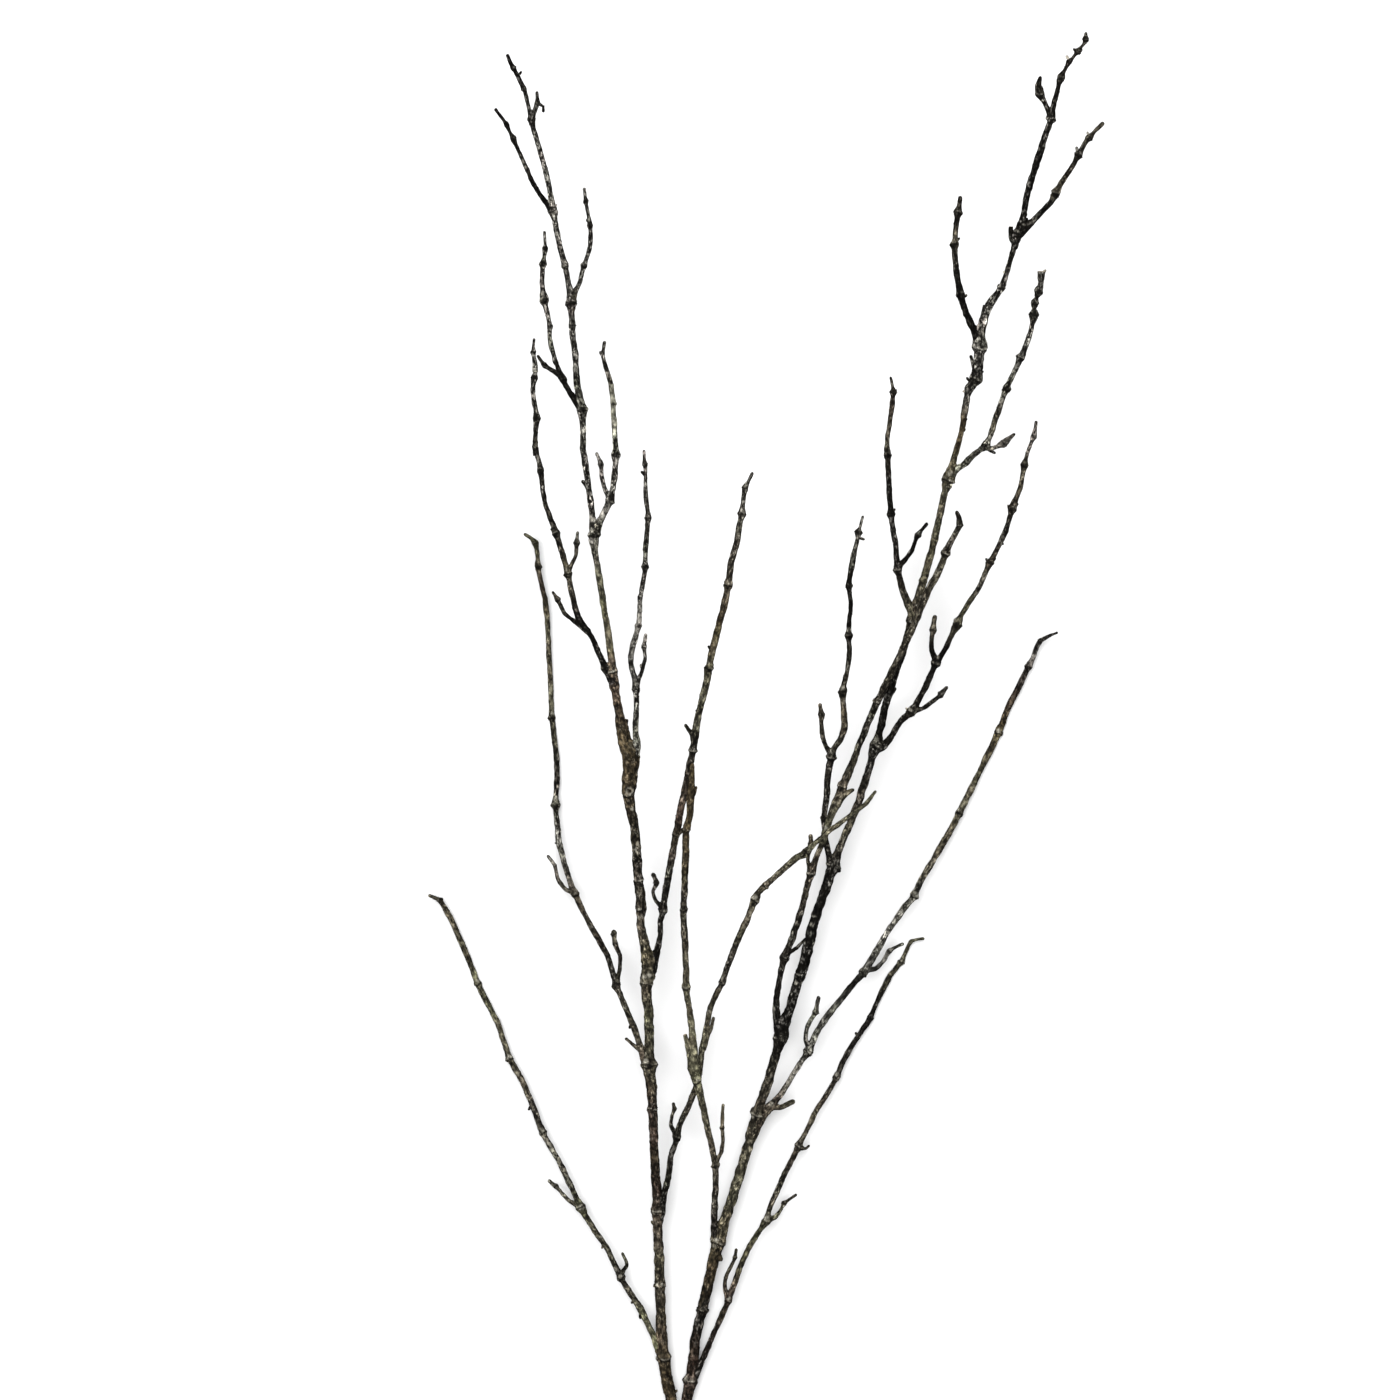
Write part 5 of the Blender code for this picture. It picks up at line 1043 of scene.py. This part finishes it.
class Tube:
    """A tube along a route, with its knots, and later its relief, colours and buds."""

    def __init__(self, route, tones, sides, seed, parent=None, fuller=0):
        self.tones = tones
        self.sides = sides
        self.seed = seed
        points = np.array([place(*row[:3]) for row in route])
        thickness = np.array([row[3] for row in route]) * MM
        is_knot = np.array([len(row) > 4 for row in route])
        if parent:
            root, root_thickness = parent.root_for(points[0])
            points = np.vstack((root, points))
            thickness = np.append(min(root_thickness, thickness[0]), thickness)
            is_knot = np.append(False, is_knot)
        self.curve = Curve(points)
        marks = self.curve.marks
        beside = wood_beside_knots(marks, thickness, is_knot)
        self.distances = ring_places(marks[-1], marks[is_knot])
        self.centres, self.headings = self.curve.at(self.distances)
        for axis in range(3):
            self.centres[:, axis] += pattern(WOBBLE, self.centres, seed + axis)
        core = np.interp(self.distances, marks, beside) / 2 + fuller * MM
        self.core = np.maximum(core, LEAST_RADIUS)
        self.angles = 2 * pi * np.arange(sides) / sides
        across, upward = sides_of_ring(self.headings)
        self.outward = (
            across[:, None, :] * np.cos(self.angles)[None, :, None]
            + upward[:, None, :] * np.sin(self.angles)[None, :, None]
        )
        self.radius = np.repeat(self.core[:, None], sides, axis=1)
        whole = pattern(WHOLE, self.points().reshape(-1, 3), seed).reshape(self.radius.shape)
        self.whole = np.clip(MEAN_WHOLE + whole, 0, MOST_WHOLE)
        self.knotty = np.zeros(len(self.distances))
        # Darker and paler marks on the bark, with painted shade and highlight at the knots among
        # them.
        self.dark = np.zeros(self.radius.shape)
        self.pale = np.zeros(self.radius.shape)
        self.buds = []
        for index in np.flatnonzero(is_knot):
            gaps = marks[is_knot] - marks[index]
            room = np.abs(gaps[gaps < 0]).min(initial=1), gaps[gaps > 0].min(initial=1)
            self.add_knot(marks[index], thickness[index], beside[index], room)
        self.mean_radius = self.radius.mean(axis=1)

    def points(self):
        return self.centres[:, None, :] + self.outward * self.radius[:, :, None]

    def radius_near(self, point):
        return self.mean_radius[nearest_to(self.centres, point)]

    def root_for(self, point):
        """A branch's hidden root in this tube if it starts at this point, and its thickness."""
        nearest = nearest_to(self.centres, point)
        back = self.distances[nearest] - ROOT_DEPTH * self.mean_radius[nearest]
        ring = np.abs(self.distances - back).argmin()
        return self.centres[ring], ROOT_SHARE * 2 * self.mean_radius[ring]

    def add_knot(self, mark, full, beside, room):
        """Swells the tube at a knot, with a groove round it in painted shade and a pale collar
        above.
        """
        extra = (full - beside) / 2
        wide = extra > WIDE_KNOT
        cell = np.array([[int(mark / MM), int(full / MM), KNOT_CELL]])
        low, high, lean = (cell_value(cell, self.seed + turn)[0] for turn in range(3))
        thin = np.clip((THICK_KNOT - beside) / THIN_SPAN, 0, 1)
        form = knot_form(self.distances, mark, full, low, high, thin, room)[:, None]
        side = np.cos(self.angles)
        if wide:
            leaning = 1 + np.sign(side) * (KNOT_LEAN * lean - KNOT_LEAN / 2)
            around = WIDE_KNOT_TOP + WIDE_KNOT_SIDES * np.abs(side) ** 1.5 * leaning
        else:
            around = SMALL_KNOT_TOP + SMALL_KNOT_SIDES * side**2
        turned = np.cos(self.angles - SLANT_TURN * mark / MM)[None, :]
        along = self.distances[:, None] - mark - changed(SLANT, thin) * full * turned
        along += RAGGED * (self.whole - MEAN_WHOLE)
        groove = changed(GROOVE_MM, thin) * MM * bell(along, *GROOVE)
        # Painted shade in the knot's groove.
        shade = changed(GROOVE_PAINTED_SHADE, thin) * bell(along, *GROOVE_SHADOW)
        collar = changed(COLLAR_LIGHT, thin) * bell(along, *COLLAR)
        self.radius += form * around[None, :] * extra * changed(UNEVEN, self.whole)
        self.radius -= groove * self.whole
        self.dark += shade * changed(GROOVE_WHOLE, self.whole)
        self.dark += THIN_KNOT_SHADE * thin * form
        self.pale += collar * self.whole
        self.knotty = np.maximum(self.knotty, form[:, 0])
        if wide:
            ridges = np.cos(2 * pi * along / RIDGE_GAP) * form**2 * self.whole
            self.radius += RIDGE_RISE * ridges
            # Painted highlight on the ring scars' crests and painted shade between them.
            self.pale += RIDGE_PAINTED_LIGHT * np.clip(ridges, 0, 1)
            self.dark += RIDGE_PAINTED_SHADE * np.clip(-ridges, 0, 1)
        if full < BUDDED_MOST:
            self.buds.append((mark, full / 2, beside / 2, 0 if wide else pi / 2))

    def add_mark(self, centre, reach, kind):
        """A round mark on the bark: a scar with a pale rim and a dark hollow, or a patch."""
        share = np.linalg.norm(self.points() - centre, axis=2) / reach
        if kind == "scar":
            rim = bell(share, *SCAR_RIM)
            hollow = np.clip(1 - (share / SCAR_HOLLOW) ** 2, 0, 1)
            self.radius += (SCAR_RISE_MM * rim - SCAR_DEPTH_MM * hollow) * MM
            self.pale += SCAR_LIGHT * rim
            self.dark += SCAR_SHADE * hollow
        else:
            rise_mm, light, shade = PATCH_KINDS[kind]
            patch = np.clip(1 - share**2, 0, 1)
            self.radius += rise_mm * MM * patch
            self.pale += light * patch
            self.dark += shade * patch

    def add_marks(self, name):
        """Puts a piece's marks on the side of this tube that the photograph shows."""
        for x, y, reach_mm, kind in MARKS.get(name, ()):
            points = self.points()
            right, down = pixels(points)
            away = np.hypot(right - x, down - y)
            away[points[:, :, 2] < self.centres[:, None, 2]] = VIEW_PIXELS
            self.add_mark(points.reshape(-1, 3)[away.argmin()], reach_mm * MM, kind)

    def swell_towards(self, other, meeting, blend, from_distance=0):
        """Rounds the corner between this tube and another that it meets."""
        near = np.linalg.norm(self.centres - meeting, axis=1) < JOIN_REACH
        others = np.linalg.norm(other.centres - meeting, axis=1) < JOIN_REACH + blend
        others &= other.distances >= from_distance
        if not near.any() or not others.any():
            return
        mine = self.points()[near]
        gaps = mine[:, :, None, :] - other.centres[others][None, None, :, :]
        away = (np.linalg.norm(gaps, axis=3) - other.mean_radius[others]).min(axis=2)
        depth = np.where(away < 0, -FADE_INSIDE * away, away)
        self.radius[near] += BLEND_RISE * blend * np.clip(1 - depth / blend, 0, 1) ** 2

    def add_relief(self):
        """Gives the tube its bark's relief."""
        flat = self.points().reshape(-1, 3)
        self.grain = np.stack((
            np.repeat(self.distances, self.sides) * GRAIN_STRETCH,
            (np.cos(self.angles)[None, :] * self.radius).ravel(),
            (np.sin(self.angles)[None, :] * self.radius).ravel(),
        ), axis=1) + self.seed * GRAIN_SHIFT
        lumps, fine = bark_relief(flat, self.grain, np.repeat(self.core, self.sides), self.seed)
        self.relief = fine.reshape(self.radius.shape)
        rise = lumps.reshape(self.radius.shape) + self.relief
        self.radius += rise * (1 + KNOTTY_RELIEF * self.knotty)[:, None]

    def round_tip(self):
        left = (self.distances[-1] - self.distances) / (TIP_REACH * self.core[-1])
        share = np.sqrt(1 - (1 - np.clip(left, 0, 1)) ** 2)
        self.radius *= np.maximum(share, TIP_LEAST)[:, None]

    def finish(self, shape, ending="tip"):
        """Adds the whole tube to a piece's shape."""
        self.add_relief()
        if ending == "tip":
            self.round_tip()
        self.emit(shape, end=ending)

    def emit(self, shape, first=0, last=None, end="tip", base="hidden"):
        """Adds the rings from first to last to a piece's shape."""
        last = len(self.distances) - 1 if last is None else last
        rows = slice(first, last + 1)
        sides = self.sides
        points = self.points()[rows].reshape(-1, 3)
        grain = self.grain.reshape(len(self.distances), sides, 3)[rows].reshape(-1, 3)
        facing_up = self.outward[rows, :, 2].ravel()
        painted = (layer[rows].ravel() for layer in (self.dark, self.pale, self.relief))
        colours = bark_colours(points, facing_up, grain, self.tones, self.seed, *painted)
        points[:, 2] = np.maximum(points[:, 2], 0)
        shape.add(points, colours, grain, band_faces(last - first + 1, sides), BARK)
        low, high = slice(None, sides), slice(-sides, None)
        add_end(shape, points[low], -self.headings[first], grain[low], base, colours[low])
        add_end(shape, points[high], self.headings[last], grain[high], end, colours[high])
        for bud in self.buds:
            if self.distances[first] <= bud[0] < self.distances[last]:
                add_bud_pair(shape, self, *bud)


def band_faces(rings, sides):
    """Quads between rings of points that follow each other."""
    low = np.arange(rings - 1)[:, None] * sides
    corner = np.arange(sides)[None, :]
    beside = (corner + 1) % sides
    corners = (low + corner, low + sides + corner, low + sides + beside, low + beside)
    return np.stack(corners, axis=2).reshape(-1, 4).tolist()


def bark_relief(points, grain, core, seed):
    """How far the bark stands out: broad lumps, then small lumps, ridges, furrows and warts."""
    lumps = changed(LUMP_HEIGHT, core) * pattern(LUMPS, points, seed) + LUMP_RISE
    small = changed(SMALL_LUMP_HEIGHT, core) * pattern(SMALL_LUMPS, points, seed)
    ridges = RIDGE_SHARE * core * pattern(RIDGES, grain, seed)
    furrows = np.clip(1 - np.abs(pattern(FURROWS, grain, seed)), 0, 1)
    warts = WART_HEIGHT * np.clip(pattern(WARTS, points, seed) - WART_LEVEL, 0, 1)
    return lumps, small + ridges - FURROW_SHARE * core * furrows + warts


def tone_at(tones, points):
    """The bark's colour at these points."""
    down = pixels(points)[1]
    heights = np.array([row[0] for row in tones], float)[::-1]
    values = np.array([row[1] for row in tones], float)[::-1]
    return np.stack([np.interp(down, heights, channel) for channel in values.T], axis=1)


def bark_colours(points, facing_up, grain, tones, seed, dark, pale, relief):
    """The bark's colour at each point, painted shade and highlight included, and how blotchy it is
    as the fourth channel.
    """
    colours = tone_at(tones, points)
    blotchy = colours[:, 3]
    light = 1 + pattern(AREAS, points, seed) + pattern(SPECKLE, points, seed)
    blots = pattern(LONG_BLOTS, grain, seed) + pattern(ROUND_BLOTS, points, seed)
    pale_blots = np.clip(PALE_BLOT_EDGE * (blots - PALE_BLOT_LEVEL), 0, 1)
    pale_blots *= changed(PALE_BLOT_SHARE, blotchy)
    patchy = np.clip(MEAN_PATCH + pattern(PATCHES, points, seed), 0, MOST_PATCH)
    light *= changed(BLOT_LIGHT, pale_blots) * changed(PATCH_LIGHT, patchy)
    dark_blots = np.clip(-DARK_BLOT_EDGE * (blots + DARK_BLOT_LEVEL), 0, 1)
    light *= 1 - DARK_BLOT_SHADE * blotchy * dark_blots
    # Painted shade on the flanks and underside.
    light *= 1 - PAINTED_FLANK_SHADE * (1 - np.clip(facing_up, 0, 1)) ** FLANK_POWER
    # Painted shade in the low relief and painted highlight on the high relief.
    light *= np.clip(1 + relief / PAINTED_RELIEF_SHADE, *PAINTED_RELIEF_LIGHT_RANGE)
    colours[:, :3] *= np.maximum(light, LEAST_LIGHT)[:, None]
    flecks = FLECK_SHARE * patchy * pale_blots * blotchy**FLECK_POWER
    colours[:, :3] += flecks[:, None] * np.array(FLECK)
    for areas, tint in ((OLIVE_AREAS, OLIVE_TINT), (RED_AREAS, RED_TINT)):
        share = np.clip(pattern(areas, points, seed), 0, 1)[:, None]
        colours[:, :3] *= 1 + share * np.array(tint)
    pale = np.clip(pale * (MEAN_PALE + pattern(PALE_EDGES, points, seed)), 0, MOST_PALE)[:, None]
    colours = colours * (1 - pale) + np.array(PALE) * pale
    dark = np.clip(dark * (MEAN_DARK + pattern(DARK_EDGES, points, seed)), 0, MOST_DARK)
    colours[:, :3] *= 1 - dark[:, None]
    return np.clip(colours, 0, 1)


def add_end(shape, ring, outward, grain, kind, colours):
    """Closes a tube: a plain cap inside another piece, a point, or a cut face that shows wood."""
    sides = len(ring)
    middle = ring.mean(axis=0)
    rings = [ring]
    slot = BARK
    if kind == "cut":
        tones = [np.tile(BLACK, (sides, 1))]
        for share, rise, colour in CUT_RINGS:
            rings.append(middle + (ring - middle) * share + outward * rise)
            tones.append(np.tile(colour, (sides, 1)))
        colours = np.vstack(tones)
        grain = np.vstack(rings)
        slot = WOOD
    elif kind == "tip":
        middle = middle + outward * TIP_RISE
    points = np.vstack((*rings, middle))
    top = len(points) - 1
    last = top - sides
    faces = band_faces(len(rings), sides)
    faces += [(last + corner, last + (corner + 1) % sides, top) for corner in range(sides)]
    normal = np.cross(points[last + 1] - points[last], middle - points[last])
    backward = np.dot(normal, outward) < 0
    faces = [face[::-1] if (len(face) == 3) == backward else face for face in faces]
    colours = np.vstack((colours, colours[-1:]))
    grain = np.vstack((grain, grain.mean(axis=0)))
    shape.add(points, colours, grain, faces, slot)


def add_bud_pair(shape, tube, mark, full, beside, turn):
    """A bud on one side of a knot or both, pressed forward along the twig."""
    where, heading = (values[0] for values in tube.curve.at(np.array([mark])))
    across, upward = sides_of_ring(heading[None, :])
    side = across[0] * cos(turn) + upward[0] * sin(turn)
    for sign in (1, -1):
        cell = [int(mark * BUD_CELLS_PER_METRE), int(full * BUD_CELLS_PER_METRE), BUD_CELL + sign]
        jitter, pointed, chance = (
            cell_value(np.array([cell]), tube.seed + step)[0] for step in range(3)
        )
        if chance > BUD_SHARE:
            continue
        length = changed(BUD_LENGTH, pointed) * full + BUD_MORE_LENGTH
        width = changed(BUD_WIDTH, pointed) * full + BUD_MORE_WIDTH
        size = changed(BUD_SIZE, jitter)
        base = where + side * sign * beside * BUD_ROOT_OUT - heading * BUD_ROOT_BACK * length
        tip = where + side * sign * full * changed(BUD_LEAN, pointed)
        tip += heading * length * size * BUD_TIP_ON
        add_bud(shape, base, tip, width * size, tube.tones, tube.seed, jitter)


def add_bud(shape, base, tip, width, tones, seed, jitter):
    """A bud of a few overlapping scales, with a pale scar at its foot."""
    axis = tip - base
    heading = axis / np.linalg.norm(axis)
    across, upward = sides_of_ring(heading[None, :])
    angles = 2 * pi * np.arange(BUMP_SIDES) / BUMP_SIDES
    around = across * np.cos(angles)[:, None] + upward * np.sin(angles)[:, None]
    darkest = DARK_BUD if jitter < DARK_BUDS else PALE_BUD
    points = []
    blend = []
    for share, thickness in BUD_PROFILE:
        turned = BUD_SCALES * angles + BUD_SCALE_TURN * share + BUD_OWN_TURN * jitter
        reach = width / 2 * thickness * (1 + BUD_SCALE_RISE * np.cos(turned))
        points.append(base + axis * share + around * reach[:, None])
        blend += [share * darkest] * BUMP_SIDES
    points = np.vstack(points + [tip])
    blend = np.array(blend + blend[-1:])[:, None]
    top = len(points) - 1
    last = top - BUMP_SIDES
    faces = band_faces(len(BUD_PROFILE), BUMP_SIDES)
    foot = range(BUMP_SIDES)
    faces += [(last + (corner + 1) % BUMP_SIDES, last + corner, top) for corner in foot]
    faces.append(tuple(foot))
    colours = tone_at(tones, points)
    colours = colours * (1 - blend) + np.array(BUD_DARK) * blend
    scar = (1 - BUD_SCAR) * colours[:BUMP_SIDES] + BUD_SCAR * np.array(PALE)
    colours[:BUMP_SIDES] = scar
    grain = points + seed * GRAIN_SHIFT
    points[:, 2] = np.maximum(points[:, 2], 0)
    shape.add(points, np.clip(colours, 0, 1), grain, faces, BARK)


def height_near(routes, x, y):
    """Height in mm of the route that passes nearest to this pixel."""
    best = (1e9, 0)
    for route in routes:
        for lower, upper in zip(route, route[1:]):
            run_x, run_y = upper[0] - lower[0], upper[1] - lower[1]
            share = ((x - lower[0]) * run_x + (y - lower[1]) * run_y) / (run_x**2 + run_y**2)
            share = min(max(share, 0), 1)
            away = (lower[0] + share * run_x - x) ** 2 + (lower[1] + share * run_y - y) ** 2
            best = min(best, (away, lower[2] + share * (upper[2] - lower[2])))
    return best[1]


def add_bumps(shape, name, seed):
    """A piece's small buds, bumps and stubs, at the height of the twig beside them."""
    routes = [ROUTES[name], *SPURS.get(name, ())]
    for number, bump in enumerate(BUMPS.get(name, ())):
        x0, y0, x1, y1, start_mm, end_mm, colour, *ending = bump
        height = height_near(routes, x0, y0)
        stations = [
            (x0, y0, height, start_mm),
            ((x0 + x1) / 2, (y0 + y1) / 2, height, (start_mm + end_mm) / 2),
            (x1, y1, height, end_mm),
        ]
        tube = Tube(stations, [(y0, colour)], BUMP_SIDES, seed + BUMP_SEED + number)
        tube.finish(shape, *ending)


def add_spurs(shape, parent, name, seed):
    """The spurs of a limb or branch, which swells a little towards them."""
    for number, route in enumerate(SPURS.get(name, ()), 1):
        own_seed = seed + SPUR_SEED + number - 1
        spur = Tube(route, TONES[name], SPUR_SIDES, own_seed, parent, SPUR_FULLER)
        join(parent, spur, route[0], SPUR_BLEND)
        spur.finish(shape, "cut" if (name, number) in FLAT_ENDS else "tip")


def join(parent, branch, station, blend):
    """Rounds the corner where a branch starts at this station of its parent."""
    meeting = np.array(place(*station[:3]))
    parent.swell_towards(branch, meeting, blend, parent.radius_near(meeting))
    branch.swell_towards(parent, meeting, blend)


def add_object(name, data):
    found = bpy.data.objects.new(name, data)
    bpy.context.scene.collection.objects.link(found)
    return found


def make_piece(name, shape):
    """Turns a shape into the object that stands for the CAD node of that name."""
    mesh = bpy.data.meshes.new(name + "_look")
    mesh.from_pydata(np.vstack(shape.points).tolist(), [], shape.faces)
    mesh.polygons.foreach_set("material_index", np.array(shape.slots, np.int32))
    mesh.shade_smooth()
    colours = np.vstack(shape.colours)
    opaque = np.ones((len(colours), 4))
    opaque[:, :3] = colours[:, :3]
    for layer, kind, field, values in (
        ("bark", "FLOAT_COLOR", "color", opaque),
        ("blotchy", "FLOAT", "value", colours[:, 3]),
        ("grain", "FLOAT_VECTOR", "vector", np.vstack(shape.grain)),
    ):
        attribute = mesh.attributes.new(layer, kind, "POINT")
        attribute.data.foreach_set(field, values.astype(np.float32).ravel())
    for material in ("twig_bark", "twig_wood"):
        mesh.materials.append(bpy.data.materials[material])
    mesh.update()
    piece = add_object(name + "_look", mesh)
    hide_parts(name)
    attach(piece, "root")


def build_branch(name, limb, seed):
    """A side branch with its spurs and bumps, rounded where it meets its limb."""
    route = ROUTES[name]
    branch = Tube(route, TONES[name], BRANCH_SIDES, seed, limb, FULLER.get(name, 0))
    join(limb, branch, route[0], LIMB_BLEND)
    branch.add_marks(name)
    shape = Shape()
    add_spurs(shape, branch, name, seed)
    branch.finish(shape, "cut" if (name, 0) in FLAT_ENDS else "tip")
    add_bumps(shape, name, seed)
    make_piece(name, shape)


def build_twig():
    bark_material()
    wood_material()
    limbs = {}
    for side, seed in SIDE_SEEDS.items():
        name = side + "_limb"
        route = STEM[side] + ROUTES[name][1:]
        limbs[side] = Tube(route, TONES[name], LIMB_SIDES, seed, fuller=FULLER[name])
    left, right = limbs.values()
    fork = np.array(place(*FORK))
    forked_at = left.distances[nearest_to(left.centres, fork)]
    left.swell_towards(right, fork, LIMB_BLEND, left.radius_near(fork))
    right.swell_towards(left, fork, LIMB_BLEND, forked_at)
    stem = Shape()
    for side, limb in limbs.items():
        name = side + "_limb"
        for number in range(1, BRANCHES_PER_SIDE + 1):
            build_branch(f"{side}_branch_{number}", limb, limb.seed + BRANCH_SEED * number)
        shape = Shape()
        add_spurs(shape, limb, name, limb.seed)
        limb.add_marks(name)
        limb.add_relief()
        limb.round_tip()
        split = nearest_to(limb.centres, np.array(place(*ROUTES[name][0][:3])))
        limb.emit(shape, first=split)
        limb.emit(stem, last=split, base="cut" if side == "left" else "hidden", end="hidden")
        add_bumps(shape, name, limb.seed)
        make_piece(name, shape)
    make_piece("stem", stem)


class Material:
    """A material with its shader, and short ways to add nodes to it."""

    def __init__(self, name):
        self.data = bpy.data.materials.new(name)
        self.data.use_nodes = True
        self.nodes = self.data.node_tree.nodes
        self.links = self.data.node_tree.links
        self.shader = self.nodes["Principled BSDF"]

    def put(self, node, inputs):
        """Sets a node's inputs, each to a socket or to a fixed value."""
        for name, value in inputs.items():
            if isinstance(value, bpy.types.NodeSocket):
                self.links.new(value, node.inputs[name])
            else:
                node.inputs[name].default_value = value

    def add(self, kind, output, inputs, **settings):
        """Adds a node and returns one of its outputs."""
        node = self.nodes.new("ShaderNode" + kind)
        for setting, value in settings.items():
            setattr(node, setting, value)
        self.put(node, inputs)
        return node.outputs[output]

    def layer(self, name, output):
        return self.add("Attribute", output, {}, attribute_name=name)

    def noise(self, vector, kind):
        names = ("Scale", "Detail", "Roughness", "Distortion")
        return self.add("TexNoise", "Fac", {"Vector": vector, **dict(zip(names, kind))})

    def ramp(self, source, low, high):
        """0 below low and 1 above high."""
        inputs = {"Value": source, "From Min": low, "From Max": high}
        return self.add("MapRange", "Result", inputs, interpolation_type="SMOOTHSTEP")

    def span(self, source, low, high):
        """Turns 0 to 1 into low to high."""
        return self.add("MapRange", "Result", {"Value": source, "To Min": low, "To Max": high})

    def plus(self, first, second):
        return self.add("Math", "Value", {0: first, 1: second}, operation="ADD")

    def times(self, first, second):
        return self.add("Math", "Value", {0: first, 1: second}, operation="MULTIPLY")

    def mix(self, factor, first, second, blend="MIX"):
        inputs = {"Factor": factor, "A": first, "B": second}
        return self.add("Mix", "Result", inputs, data_type="RGBA", blend_type=blend)

    def bump(self, height, strength):
        return self.add("Bump", "Normal", {"Height": height, **strength})


def bark_material():
    """Grey-brown bark with rough black patches, pale flecks and fine cracks along the twig."""
    bark = Material("twig_bark")
    tone = bark.layer("bark", "Color")
    blotchy = bark.layer("blotchy", "Fac")
    grain = bark.layer("grain", "Vector")
    areas = bark.noise(grain, AREA_NOISE)
    marks = bark.plus(bark.noise(grain, PATCH_NOISE), bark.times(areas, AREAS_IN_PATCHES))
    patches = bark.times(bark.ramp(marks, *PATCH_RAMP), blotchy)
    flecked = bark.span(bark.ramp(areas, *FLECKED_AREAS), FLECKED_LEAST, 1.0)
    flecks = bark.times(bark.ramp(bark.noise(grain, FLECK_NOISE), *FLECK_RAMP), flecked)
    specks = bark.times(bark.ramp(bark.noise(grain, SPECK_NOISE), *SPECK_RAMP), blotchy)
    inputs = {0: tone, 1: FLECK_GAIN, 2: FLECK_ADDED}
    lighter = bark.add("VectorMath", "Vector", inputs, operation="MULTIPLY_ADD")
    fine = bark.noise(grain, FINE_NOISE)
    colour = bark.mix(patches, tone, PATCH_COLOUR)
    colour = bark.mix(flecks, colour, lighter)
    colour = bark.mix(specks, colour, SPECK_COLOUR)
    colour = bark.mix(FINE_SHADE, colour, bark.ramp(fine, *FINE_RAMP), "MULTIPLY")
    height = bark.plus(bark.times(patches, PATCH_BUMP), flecks)
    height = bark.plus(height, bark.times(fine, FINE_BUMP))
    bark.put(bark.shader, {
        "Base Color": colour,
        "Normal": bark.bump(height, BARK_BUMP),
        "Roughness": bark.span(patches, *BARK_ROUGHNESS),
        "Specular IOR Level": BARK_GLOSS,
    })


def wood_material():
    """Pale cut wood with fine pores."""
    wood = Material("twig_wood")
    pores = wood.noise(wood.layer("grain", "Vector"), PORE_NOISE)
    shade = wood.ramp(pores, *PORE_RAMP)
    wood.put(wood.shader, {
        "Base Color": wood.mix(FINE_SHADE, wood.layer("bark", "Color"), shade, "MULTIPLY"),
        "Normal": wood.bump(pores, WOOD_BUMP),
        "Roughness": WOOD_ROUGHNESS,
    })


def add_studio():
    """A pale surface, soft light from above and the camera at the photograph's eye."""
    mesh = bpy.data.meshes.new("surface")
    half = SURFACE_SIZE / 2
    sides = ((-half, -half), (half, -half), (half, half), (-half, half))
    mesh.from_pydata([(x, y, SURFACE_TOP) for x, y in sides], [], [(0, 1, 2, 3)])
    surface = add_object("surface", mesh)
    pale = Material("pale_surface")
    pale.put(pale.shader, {
        "Base Color": SURFACE_COLOUR,
        "Roughness": SURFACE_ROUGHNESS,
        "Specular IOR Level": SURFACE_GLOSS,
    })
    mesh.materials.append(pale.data)

    world = bpy.data.worlds.new("studio")
    world.use_nodes = True
    background = world.node_tree.nodes["Background"]
    background.inputs["Color"].default_value = WHITE
    background.inputs["Strength"].default_value = WORLD_LIGHT
    bpy.context.scene.world = world

    light = bpy.data.lights.new("softbox", "AREA")
    light.shape = "SQUARE"
    light.size = SOFTBOX_SIZE
    light.energy = SOFTBOX_POWER
    softbox = add_object("softbox", light)
    softbox.location = SOFTBOX_PLACE
    softbox.rotation_mode = "QUATERNION"
    softbox.rotation_quaternion = (-Vector(SOFTBOX_PLACE)).to_track_quat("-Z", "Y")

    eye = bpy.data.cameras.new("eye")
    eye.sensor_width = SENSOR_WIDTH
    eye.lens = SENSOR_WIDTH * EYE_HEIGHT / VIEW_WIDTH
    camera = add_object("eye", eye)
    camera.location = (-MIDDLE_X, -MIDDLE_Y, EYE_HEIGHT)
    bpy.context.scene.camera = camera
    bpy.context.scene.view_settings.view_transform = "Standard"


build_twig()
add_studio()
